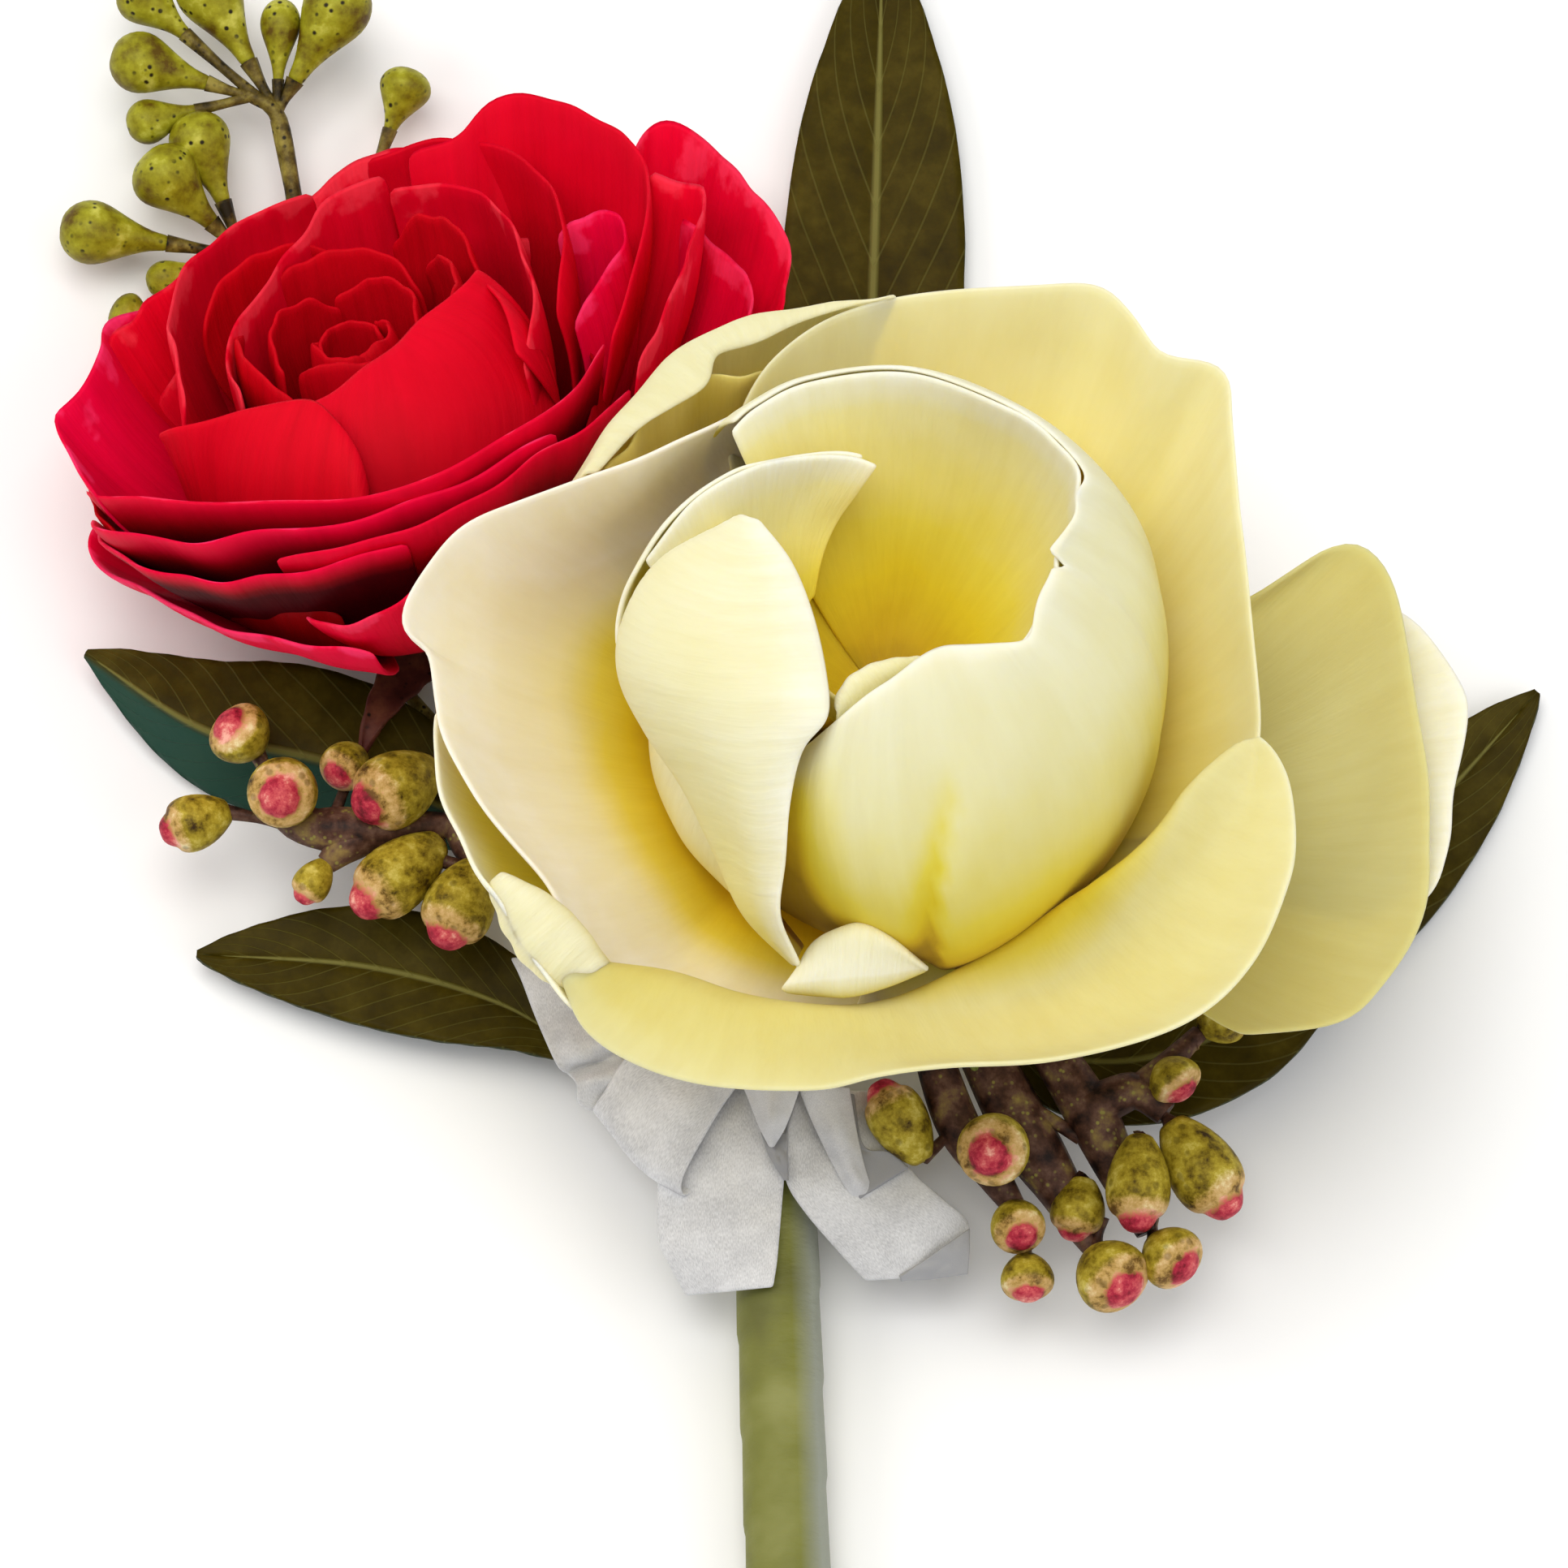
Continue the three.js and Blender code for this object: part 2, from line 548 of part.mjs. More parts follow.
const lowerLeftSprig = {
  turn: 120,
  shape: cappedBud,
  main: [[-6, 12.2, 8.8], [-16, 13.8, 10], [-26, 16.4, 10], [-36, 20.4, 9.6]],
  twigs: [
    [[-26, 16.4, 10], [-31, 20, 10.2], [-36.4, 24.4, 10.4]],
    [[-16, 13.8, 10], [-24, 13, 9.2], [-31, 14, 8.4]],
  ],
  buds: [
    { from: [-35.6, 23.8, 10.4], at: [-41, 27.2, 11], radius: 2.5, lie: [-0.5, 0.3, 0.7] },
    { from: [-34.8, 22.8, 10.2], at: [-37.3, 21.4, 12.8], radius: 2.8, lie: [-0.3, -0.5, 0.9] },
    { from: [-36, 20.4, 9.6], at: [-44.4, 20, 9], radius: 2.3, length: 6.4 },
    { from: [-28, 17.6, 10], at: [-28.6, 20.8, 12.6], radius: 3, lie: [-0.7, -0.4, 0.8] },
    { from: [-31, 20, 10.2], at: [-32.6, 23.4, 11.6], radius: 2.4, lie: [0.1, 0.6, 0.8] },
    { from: [-30.6, 14, 8.4], at: [-34.6, 14.8, 8.8], radius: 1.7 },
    { from: [-25, 13.2, 9.2], at: [-29.8, 14.2, 11], radius: 2.6, lie: [-0.7, -0.7, 0.6] },
    { from: [-19, 13.8, 9.8], at: [-23.8, 11.4, 12], radius: 3, lie: [-0.8, -0.6, 0.4] },
  ],
};

const lowerRightSprig = {
  turn: 52,
  shape: cappedBud,
  main: [[6.4, 8.6, 10.2], [11.6, 4.2, 11.4], [17.4, -1.6, 10.4], [24, -6, 9.4]],
  twigs: [
    [[11.6, 4.2, 11.4], [20, 0.6, 11.6], [28, -2.6, 11]],
    [[17.4, -1.6, 10.4], [16.4, -7, 9], [18.6, -11, 8]],
    [[24, -6, 9.4], [26, -9.6, 8.6], [27.8, -12.2, 8]],
  ],
  buds: [
    { from: [16.4, -0.6, 10.4], at: [17.1, -7.4, 13.4], radius: 2.9, lie: [0.1, -0.4, 1] },
    { from: [14.4, 0.8, 11.2], at: [9.2, -3.6, 13], radius: 2.1, length: 6, lie: [-0.8, -0.3, 0.5] },
    { from: [18, -10.2, 8.2], at: [19.3, -13, 8.6], radius: 2.2, lie: [0.1, -0.6, 0.7] },
    { from: [18.6, -11, 8], at: [20, -16.8, 7.4], radius: 2.05, lie: [0.1, -0.8, 0.6] },
    { from: [26, -9.6, 8.6], at: [26.5, -16.2, 8.2], radius: 3, lie: [0.4, -0.7, 0.6] },
    { from: [27.8, -12.2, 8], at: [31.3, -15, 8.2], radius: 2.5, lie: [0.8, -0.3, 0.5] },
    { from: [28, -2.6, 11], at: [28.3, -10.4, 12], radius: 2.4, length: 8.6 },
    { from: [28, -2.6, 11], at: [34.2, -8.6, 10], radius: 2.7, length: 10 },
    { from: [24, -5.6, 9.4], at: [23.4, -11.2, 8.4], radius: 2.2 },
    { from: [28, -2.6, 11], at: [31.4, 0.4, 12.2], radius: 2.2 },
    { from: [28, -2.6, 11], at: [35.4, 3.8, 11], radius: 2.2 },
  ],
};

// ---------------------------------------------------------------- satin bow


function bowKnot() {
  const at = inSleeve(bow.knotAlong, 0, 0);
  const axis = sleeve.mouth.clone().sub(sleeve.cutEnd);
  const inner = bow.bandRadius;
  const outer = inner + ribbonThickness;
  const half = bow.bandHalfWidth;
  const profile = [[inner, -half], [outer, -half], [outer, half], [inner, half], [inner, -half]];
  const knot = new THREE.SphereGeometry(1, 10, 8);
  knot.scale(...bow.knotHalfSize);
  knot.translate(at.x, at.y, at.z + outer + 0.9);
  return [turned(profile, at, axis, sleeve.sides), solid(knot)];
}

// A loop runs out from the knot, turns at the fold line between `foldA` and `foldB`, and returns.
function bowLoop(knot, foldA, foldB, puff) {
  const [a, b] = vectors([foldA, foldB]);
  const reach = a.clone().add(b).multiplyScalar(0.5).sub(knot);
  const side = b.clone().sub(a).setLength(ribbonWidth / 2);
  const surface = (u, v) => {
    const out = Math.sin(Math.PI * v);
    const spread = 0.22 + 0.78 * out ** 0.6;
    return knot.clone()
      .addScaledVector(reach, out)
      .addScaledVector(side, u * spread)
      .add(new THREE.Vector3(0, 0, puff * Math.sin(2 * Math.PI * v)));
  };
  return sheet(surface, 2, 12, ribbonThickness);
}

// A tail hangs from the knot between a left and a right edge.
function bowTail(left, right) {
  const leftEdge = curveThrough(left);
  const rightEdge = curveThrough(right);
  const surface = (u, v) => leftEdge.getPointAt(v).lerp(rightEdge.getPointAt(v), (u + 1) / 2);
  return sheet(surface, 3, 6, ribbonThickness);
}

function ribbonBow() {
  const knot = inSleeve(bow.knotAlong, 0, bow.bandRadius + ribbonThickness + 0.8);
  const solids = [
    ...bowKnot(),
    bowLoop(knot, [-14.4, -2.4, 8.8], [-6.2, -9.9, 9.2], 1.4),
    bowLoop(knot, [-19.6, 7, 8.2], [-15.4, -2.2, 9.4], 1.3),
    bowLoop(knot, [5.6, -10.8, 8.6], [12.8, -4.3, 8.6], 1),
    bowTail(
      [[-1.4, -3.6, 10.6], [-6.4, -7.2, 9], [-8.8, -12, 7], [-6.6, -17.2, 6]],
      [[0.2, -4.4, 10.8], [1, -9, 9.4], [1, -13, 9], [0.9, -17, 8.8]],
    ),
    bowTail(
      [[-0.6, -4.6, 10.8], [1.4, -9.8, 9.2], [4, -13, 7.8], [7.6, -16.4, 5.4]],
      [[1.4, -3.4, 10.8], [7, -6.2, 8.8], [12.6, -9.2, 6.6], [15.7, -15.2, 4.4]],
    ),
  ];
  return node('ribbon_bow', solids, satin);
}

// ---------------------------------------------------------------- the whole

const boutonniere = new THREE.Group();
boutonniere.add(
  creamBloom(),
  creamCalyx(),
  redBloom(),
  redCalyx(),
  ...Object.entries(leaves).map(([name, options]) => leaf(name, options)),
  sprig('sprig_upper', upperSprig, budGreen),
  sprig('sprig_lower_left', lowerLeftSprig, budPink),
  sprig('sprig_lower_right', lowerRightSprig, budPink),
  stemTape(),
  ribbonBow(),
);

// The origin is the middle of the bounding box on the table.
const bounds = new THREE.Box3().setFromObject(boutonniere);
const centre = bounds.getCenter(new THREE.Vector3());
boutonniere.position.set(-centre.x, -centre.y, -bounds.min.z);

export default boutonniere;
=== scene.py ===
import math

import bmesh
import bpy
import numpy as np
from mathutils import Matrix, Vector, noise


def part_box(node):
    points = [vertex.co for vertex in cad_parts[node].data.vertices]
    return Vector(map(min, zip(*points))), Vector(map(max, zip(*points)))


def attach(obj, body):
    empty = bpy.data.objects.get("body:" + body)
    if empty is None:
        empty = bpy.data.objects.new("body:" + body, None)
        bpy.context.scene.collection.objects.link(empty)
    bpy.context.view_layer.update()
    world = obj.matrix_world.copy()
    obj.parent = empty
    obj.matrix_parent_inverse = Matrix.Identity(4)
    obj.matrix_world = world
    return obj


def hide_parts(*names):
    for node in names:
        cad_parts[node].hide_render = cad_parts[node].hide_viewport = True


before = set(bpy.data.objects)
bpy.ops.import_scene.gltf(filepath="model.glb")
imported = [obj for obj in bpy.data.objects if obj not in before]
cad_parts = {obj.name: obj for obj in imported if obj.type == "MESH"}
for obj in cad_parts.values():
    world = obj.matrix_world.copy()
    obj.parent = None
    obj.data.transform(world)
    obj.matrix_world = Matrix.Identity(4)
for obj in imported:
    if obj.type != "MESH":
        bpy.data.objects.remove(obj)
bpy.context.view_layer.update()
mm = 0.001

# The measures below are in millimetres from the point where the bow is tied, as in the solids.
# That point is found from the taped stem's box.
tapeLow = Vector((-5.128, -47.209, 0.053))
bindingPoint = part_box("stem_tape")[0] / mm - tapeLow
bpy.ops.object.select_all(action="DESELECT")


def linear(hexColor):
    # sRGB hex to the linear values that the shaders use
    channels = [int(hexColor[i:i + 2], 16) / 255 for i in (1, 3, 5)]
    return tuple(c / 12.92 if c <= 0.04045 else ((c + 0.055) / 1.055) ** 2.4 for c in channels) + (1,)


def addNode(tree, kind, inputs=None, stops=None, **settings):
    # one shader node with its settings, its colour stops, and its values or links
    added = tree.nodes.new(kind)
    for key, value in settings.items():
        setattr(added, key, value)
    for index, (place, color) in enumerate(stops or []):
        ramp = added.color_ramp.elements
        stop = ramp[index] if index < 2 else ramp.new(place)
        stop.position = place
        stop.color = linear(color)
    for key, value in (inputs or {}).items():
        if isinstance(value, bpy.types.NodeSocket):
            tree.links.new(value, added.inputs[key])
        else:
            added.inputs[key].default_value = value
    return added


def newMaterial(name):
    material = bpy.data.materials.new(name)
    material.use_nodes = True
    tree = material.node_tree
    shader = tree.nodes["Principled BSDF"]
    return material, tree, shader


def selectOnly(*pieces):
    bpy.ops.object.select_all(action="DESELECT")
    for piece in pieces:
        piece.select_set(True)
    bpy.context.view_layer.objects.active = pieces[0]


def applyModifier(piece, kind, **settings):
    selectOnly(piece)
    modifier = piece.modifiers.new(kind.title(), kind)
    for key, value in settings.items():
        setattr(modifier, key, value)
    bpy.ops.object.modifier_apply(modifier=modifier.name)


def pieceName(node, ending=""):
    # leaf_top becomes leafTop
    first, *rest = node.split("_")
    return first + "".join(word.capitalize() for word in rest) + ending


def joinPieces(name, pieces, material=None):
    selectOnly(*pieces)
    if len(pieces) > 1:
        bpy.ops.object.join()
    piece = bpy.context.active_object
    piece.name = piece.data.name = name
    if material:
        piece.data.materials.clear()
        piece.data.materials.append(material)
    bpy.ops.object.shade_smooth()
    return piece


def setAttribute(piece, name, value):
    # one number or one value a point, read by the materials
    layer = piece.data.attributes.new(name, "FLOAT", "POINT")
    count = len(piece.data.vertices)
    layer.data.foreach_set("value", np.broadcast_to(np.asarray(value, np.float32), (count,)).copy())


def stand(piece, *nodes, slot):
    # the finished piece stands for its solids and rides with them
    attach(piece, "root")
    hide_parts(*nodes)


def smoothLine(points, count):
    # a smooth line through the marks, as so many points evenly spaced along it
    points = np.array(points, float)
    padded = np.vstack([2 * points[0] - points[1], points, 2 * points[-1] - points[-2]])
    t = np.linspace(0, 1, 16, endpoint=False)[:, None]
    parts = []
    for a, b, c, d in zip(padded, padded[1:], padded[2:], padded[3:]):
        parts.append(0.5 * (2 * b + (c - a) * t + (2 * a - 5 * b + 4 * c - d) * t ** 2
                            + (3 * b - a - 3 * c + d) * t ** 3))
    dense = np.vstack([*parts, points[-1]])
    length = np.insert(np.cumsum(np.linalg.norm(np.diff(dense, axis=0), axis=1)), 0, 0)
    wanted = np.linspace(0, length[-1], count)
    return np.stack([np.interp(wanted, length, column) for column in dense.T], 1)


def smoothstep(value, low, high):
    t = np.clip((value - low) / (high - low), 0, 1)
    return t * t * (3 - 2 * t)


def roughness(points, scale, seed):
    # soft uneven noise at each point, about -1 to 1
    return np.array([noise.noise(Vector(p) * scale + Vector((seed, 2 * seed, -seed))) for p in points])


def shapedGrid(name, points, thickness, levels=1):
    # a sheet: a grid primitive whose points are laid on a surface, then thickened and rounded
    rows, columns = points.shape[0] - 1, points.shape[1] - 1
    bpy.ops.object.select_all(action="DESELECT")
    bpy.ops.mesh.primitive_grid_add(x_subdivisions=columns, y_subdivisions=rows, size=2)
    piece = bpy.context.active_object
    piece.name = piece.data.name = name
    flat = np.empty(len(piece.data.vertices) * 3)
    piece.data.vertices.foreach_get("co", flat)
    flat = flat.reshape(-1, 3)
    i = np.rint((flat[:, 0] + 1) / 2 * columns).astype(int)
    j = np.rint((flat[:, 1] + 1) / 2 * rows).astype(int)
    placed = (points[j, i] + np.array(bindingPoint)) * mm
    piece.data.vertices.foreach_set("co", placed.ravel())
    piece.data.update()
    if thickness:
        applyModifier(piece, "SOLIDIFY", thickness=thickness * mm, offset=0)
    if levels:
        applyModifier(piece, "SUBSURF", levels=levels, render_levels=levels)
    return piece


def tube(name, points, radii, sides=10, steps=8):
    # a stem along a curve through the points, with its own radius at each
    bpy.ops.object.select_all(action="DESELECT")
    bpy.ops.curve.primitive_nurbs_path_add()
    stem = bpy.context.active_object
    stem.name = name
    line = stem.data
    line.splines.clear()
    spline = line.splines.new("POLY")
    placed = smoothLine([[*p, r] for p, r in zip(points, radii)], steps * (len(points) - 1) + 1)
    spline.points.add(len(placed) - 1)
    for point, (x, y, z, r) in zip(spline.points, placed):
        point.co = (*((Vector((x, y, z)) + bindingPoint) * mm), 1)
        point.radius = r
    line.bevel_depth = mm
    line.bevel_resolution = max(0, sides // 4 - 1)
    line.use_fill_caps = True
    stem.matrix_world = Matrix.Identity(4)
    bpy.ops.object.convert(target="MESH")
    stem = bpy.context.active_object
    return stem


def turnedForm(name, profile, sides=16):
    # a turned form by hand: a circle is extruded ring by ring and each ring is scaled, [radius, height]
    bpy.ops.object.select_all(action="DESELECT")
    first = profile[0]
    bpy.ops.mesh.primitive_circle_add(vertices=sides, radius=first[0], location=(0, 0, first[1]),
                                      fill_type="NGON")
    piece = bpy.context.active_object
    piece.name = piece.data.name = name
    bpy.ops.object.mode_set(mode="EDIT")
    for (r0, h0), (r1, h1) in zip(profile, profile[1:]):
        bpy.ops.mesh.extrude_region_move(TRANSFORM_OT_translate={"value": (0, 0, h1 - h0)})
        bpy.ops.transform.resize(value=(r1 / r0, r1 / r0, 1))
    bpy.ops.object.mode_set(mode="OBJECT")
    bpy.ops.object.transform_apply(location=True, rotation=True, scale=True)
    mesh = bmesh.new()
    mesh.from_mesh(piece.data)
    bmesh.ops.remove_doubles(mesh, verts=mesh.verts, dist=1e-6)
    bmesh.ops.recalc_face_normals(mesh, faces=mesh.faces)
    mesh.to_mesh(piece.data)
    mesh.free()
    return piece


def turnTo(direction, place, scale):
    # stands a turned form at a place, pointing along a direction
    turn = Vector((0, 0, 1)).rotation_difference(Vector(direction)).to_matrix().to_4x4()
    grow = Matrix.Diagonal((*scale, 1))
    return Matrix.Scale(mm, 4) @ Matrix.Translation(Vector(place) + bindingPoint) @ turn @ grow


camera = {"target": (1.314, 25.582, 0), "tilt": 18, "distance": 900, "sharpDepth": 20, "pixel": 0.062}


def makeCamera():
    tilt = math.radians(camera["tilt"])
    back = Vector((0, -math.sin(tilt), math.cos(tilt)))
    bpy.ops.object.camera_add(location=(Vector(camera["target"]) + bindingPoint + back * camera["distance"]) * mm)
    eye = bpy.context.active_object
    eye.rotation_euler = (tilt, 0, 0)
    width = camera["pixel"] * 1932  # the photograph is 1932 pixels wide
    eye.data.sensor_width = 36
    eye.data.lens = 36 * (camera["distance"] - camera["sharpDepth"]) / width
    eye.data.clip_start = 0.01
    eye.data.clip_end = 20
    bpy.context.scene.camera = eye


lights = [
    {"name": "skyLight", "place": (-0.12, 0.1, 1.25), "size": 0.8, "power": 8.4, "color": "#fffdf8"},
    {"name": "windowLight", "place": (-0.9, 0.3, 0.8), "size": 0.5, "power": 3.0, "color": "#fffaf2"},
    {"name": "fillLight", "place": (0.8, -0.4, 0.8), "size": 0.9, "power": 3.0, "color": "#f8f9ff"},
]


def makeLight():
    for lamp in lights:
        bpy.ops.object.light_add(type="AREA", location=lamp["place"])
        made = bpy.context.active_object
        made.name = lamp["name"]
        made.data.size = lamp["size"]
        made.data.energy = lamp["power"]
        made.data.color = linear(lamp["color"])[:3]
        made.rotation_euler = (-Vector(lamp["place"])).to_track_quat("-Z", "Y").to_euler()
    world = bpy.data.worlds.new("softRoom")
    bpy.context.scene.world = world
    world.use_nodes = True
    world.node_tree.nodes["Background"].inputs["Color"].default_value = linear("#fbfcff")
    world.node_tree.nodes["Background"].inputs["Strength"].default_value = 0.56
    bpy.ops.mesh.primitive_plane_add(size=4, location=(0, 0, -0.0002))
    floor = bpy.context.active_object
    floor.name = "paleTable"
    material, tree, shader = newMaterial("paleTable")
    grain = addNode(tree, "ShaderNodeTexNoise", {"Scale": 6, "Detail": 3})
    tone = addNode(tree, "ShaderNodeValToRGB", {"Fac": grain.outputs["Fac"]},
                   [(0, "#f8f8f7"), (1, "#fdfdfd")])
    tree.links.new(tone.outputs["Color"], shader.inputs["Base Color"])
    shader.inputs["Roughness"].default_value = 0.9
    floor.data.materials.append(material)
    bpy.context.scene.view_settings.view_transform = "Standard"


makeCamera()
makeLight()
print("camera and light made")


def creamPetalMaterial():
    # rose petal, grown: thin moist flesh under a matt skin of tiny cones, so light goes in and
    # comes out soft; golden where the petals are crowded, partly the petals' own colour at the base and
    # partly painted shade and a painted glow of light through the petals; ivory in the blade, near white at the
    # rim
    material, tree, shader = newMaterial("creamRosePetal")
    depth = addNode(tree, "ShaderNodeAttribute", attribute_name="depth")
    tint = addNode(tree, "ShaderNodeAttribute", attribute_name="tone")
    place = addNode(tree, "ShaderNodeTexCoord")
    cloud = addNode(tree, "ShaderNodeTexNoise", {"Vector": place.outputs["Object"], "Scale": 190, "Detail": 4})
    shifted = addNode(tree, "ShaderNodeMath", {0: cloud.outputs["Fac"], 1: -0.5}, operation="ADD")
    spread = addNode(tree, "ShaderNodeMath", {0: shifted.outputs[0], 1: 0.16, 2: depth.outputs["Fac"]},
                     operation="MULTIPLY_ADD")
    # the ramp's deep end is painted shade and painted glow where the petals crowd, over their own gold at the base
    body = addNode(tree, "ShaderNodeValToRGB", {"Fac": spread.outputs[0]}, [
        (0, "#fbf7dc"), (1, "#a6860a"), (0.08, "#f4edc6"), (0.28, "#f0e6ae"), (0.46, "#efdf84"),
        (0.62, "#ecd64c"), (0.78, "#e6c926"), (0.9, "#d0ac14"),
    ])
    # greenish or pinkish petals: tone 0 is green-grey, 0.5 plain, 1 pink-white
    wash = addNode(tree, "ShaderNodeValToRGB", {"Fac": tint.outputs["Fac"]}, [
        (0, "#c8c490"), (1, "#fff8ff"), (0.5, "#ffffff"),
    ])
    washed = addNode(tree, "ShaderNodeMix", {"Factor": 1.0, "A": body.outputs["Color"],
                                             "B": wash.outputs["Color"]},
                     data_type="RGBA", blend_type="MULTIPLY")
    # veins fan from the claw, about 1.2 mm apart
    uv = addNode(tree, "ShaderNodeUVMap", uv_map="UVMap")
    stretch = addNode(tree, "ShaderNodeMapping", {"Vector": uv.outputs["UV"], "Scale": (38, 3, 1)})
    vein = addNode(tree, "ShaderNodeTexNoise", {"Vector": stretch.outputs["Vector"], "Scale": 1, "Detail": 3,
                                                "Roughness": 0.6})
    veinTone = addNode(tree, "ShaderNodeValToRGB", {"Fac": vein.outputs["Fac"]},
                       [(0.25, "#f3eedc"), (0.7, "#ffffff")])
    colored = addNode(tree, "ShaderNodeMix", {"Factor": 0.5, "A": washed.outputs["Result"],
                                              "B": veinTone.outputs["Color"]},
                      data_type="RGBA", blend_type="MULTIPLY")
    tree.links.new(colored.outputs["Result"], shader.inputs["Base Color"])
    bump = addNode(tree, "ShaderNodeBump", {"Height": vein.outputs["Fac"], "Strength": 0.35, "Distance": 0.0003})
    skin = addNode(tree, "ShaderNodeTexNoise", {"Vector": place.outputs["Object"], "Scale": 1400, "Detail": 2})
    fine = addNode(tree, "ShaderNodeBump", {"Height": skin.outputs["Fac"], "Strength": 0.12, "Distance": 0.0001,
                                            "Normal": bump.outputs["Normal"]})
    tree.links.new(fine.outputs["Normal"], shader.inputs["Normal"])
    shader.inputs["Roughness"].default_value = 0.56
    shader.inputs["IOR"].default_value = 1.42
    shader.inputs["Subsurface Weight"].default_value = 0.4
    shader.inputs["Subsurface Radius"].default_value = (0.0024, 0.0019, 0.0009)
    shader.inputs["Subsurface Scale"].default_value = 1
    shader.inputs["Sheen Weight"].default_value = 0.05
    shader.inputs["Specular IOR Level"].default_value = 0.3
    return material


def redPetalMaterial():
    # red rose petal, grown: velvety skin, crimson in the blade; painted shade darkens it where the petals
    # crowd, and a painted highlight makes it a little pinker and paler along the rim
    material, tree, shader = newMaterial("redRosePetal")
    depth = addNode(tree, "ShaderNodeAttribute", attribute_name="depth")
    tone = addNode(tree, "ShaderNodeAttribute", attribute_name="tone")
    place = addNode(tree, "ShaderNodeTexCoord")
    cloud = addNode(tree, "ShaderNodeTexNoise", {"Vector": place.outputs["Object"], "Scale": 260, "Detail": 4})
    shifted = addNode(tree, "ShaderNodeMath", {0: cloud.outputs["Fac"], 1: -0.5}, operation="ADD")
    spread = addNode(tree, "ShaderNodeMath", {0: shifted.outputs[0], 1: 0.14, 2: depth.outputs["Fac"]},
                     operation="MULTIPLY_ADD")
    # dark end: painted shade between the petals; pale pink start at the rim: a painted highlight
    body = addNode(tree, "ShaderNodeValToRGB", {"Fac": spread.outputs[0]}, [
        (0, "#ff2e68"), (1, "#1c0004"), (0.012, "#f00240"), (0.16, "#de0034"), (0.4, "#bc0024"),
        (0.62, "#8c0012"), (0.82, "#480007"),
    ])
    # low tone dulls and darkens the red: the petal's own hue, and painted shade on walls that lie in shadow
    wash = addNode(tree, "ShaderNodeValToRGB", {"Fac": tone.outputs["Fac"]}, [
        (0, "#8c8c38"), (1, "#ffffff"), (0.4, "#e8ff6a"), (0.6, "#f8ffb4"), (0.75, "#ffffff"),
    ])
    washed = addNode(tree, "ShaderNodeMix", {"Factor": 1.0, "A": body.outputs["Color"],
                                             "B": wash.outputs["Color"]},
                     data_type="RGBA", blend_type="MULTIPLY")
    uv = addNode(tree, "ShaderNodeUVMap", uv_map="UVMap")
    stretch = addNode(tree, "ShaderNodeMapping", {"Vector": uv.outputs["UV"], "Scale": (26, 2, 1)})
    vein = addNode(tree, "ShaderNodeTexNoise", {"Vector": stretch.outputs["Vector"], "Scale": 1, "Detail": 3})
    veinTone = addNode(tree, "ShaderNodeValToRGB", {"Fac": vein.outputs["Fac"]},
                       [(0.3, "#d8c0c4"), (0.65, "#ffffff")])
    colored = addNode(tree, "ShaderNodeMix", {"Factor": 0.45, "A": washed.outputs["Result"],
                                              "B": veinTone.outputs["Color"]},
                      data_type="RGBA", blend_type="MULTIPLY")
    tree.links.new(colored.outputs["Result"], shader.inputs["Base Color"])
    bump = addNode(tree, "ShaderNodeBump", {"Height": vein.outputs["Fac"], "Strength": 0.4, "Distance": 0.0003})
    skin = addNode(tree, "ShaderNodeTexNoise", {"Vector": place.outputs["Object"], "Scale": 1500, "Detail": 2})
    fine = addNode(tree, "ShaderNodeBump", {"Height": skin.outputs["Fac"], "Strength": 0.15, "Distance": 0.0001,
                                            "Normal": bump.outputs["Normal"]})
    tree.links.new(fine.outputs["Normal"], shader.inputs["Normal"])
    shader.inputs["Roughness"].default_value = 0.6
    shader.inputs["IOR"].default_value = 1.42
    shader.inputs["Subsurface Weight"].default_value = 0.08
    shader.inputs["Subsurface Radius"].default_value = (0.0016, 0.0003, 0.0002)
    shader.inputs["Subsurface Scale"].default_value = 1
    shader.inputs["Specular IOR Level"].default_value = 0.08
    return material


def plantMaterial(name, stops, patch=220, speck=None, speckSize=0.7, gloss=0.5, bumpSize=0.25):
    # green or woody plant skin, grown: mottled in soft patches, with raised specks where it has them
    material, tree, shader = newMaterial(name)
    place = addNode(tree, "ShaderNodeTexCoord")
    cloud = addNode(tree, "ShaderNodeTexNoise", {"Vector": place.outputs["Object"], "Scale": patch, "Detail": 5,
                                                 "Roughness": 0.6})
    body = addNode(tree, "ShaderNodeValToRGB", {"Fac": cloud.outputs["Fac"]}, stops)
    color = body.outputs["Color"]
    if speck:
        cells = addNode(tree, "ShaderNodeTexVoronoi", {"Vector": place.outputs["Object"],
                                                       "Scale": 1000 / speckSize})
        dots = addNode(tree, "ShaderNodeValToRGB", {"Fac": cells.outputs["Distance"]},
                       [(0.16, "#ffffff"), (0.3, "#000000")])
        few = addNode(tree, "ShaderNodeTexNoise", {"Vector": place.outputs["Object"], "Scale": 420})
        where = addNode(tree, "ShaderNodeValToRGB", {"Fac": few.outputs["Fac"]},
                        [(0.46, "#000000"), (0.56, "#ffffff")])
        share = addNode(tree, "ShaderNodeMath", {0: dots.outputs["Color"], 1: where.outputs["Color"]},
                        operation="MULTIPLY")
        mixed = addNode(tree, "ShaderNodeMix", {"Factor": share.outputs[0], "A": color, "B": linear(speck)},
                        data_type="RGBA")
        color = mixed.outputs["Result"]
    tree.links.new(color, shader.inputs["Base Color"])
    skin = addNode(tree, "ShaderNodeTexNoise", {"Vector": place.outputs["Object"], "Scale": 250 / bumpSize,
                                                "Detail": 3})
    bump = addNode(tree, "ShaderNodeBump", {"Height": skin.outputs["Fac"], "Strength": 0.3, "Distance": 0.0002})
    tree.links.new(bump.outputs["Normal"], shader.inputs["Normal"])
    shader.inputs["Roughness"].default_value = gloss
    shader.inputs["IOR"].default_value = 1.45
    shader.inputs["Specular IOR Level"].default_value = 0.2
    return material


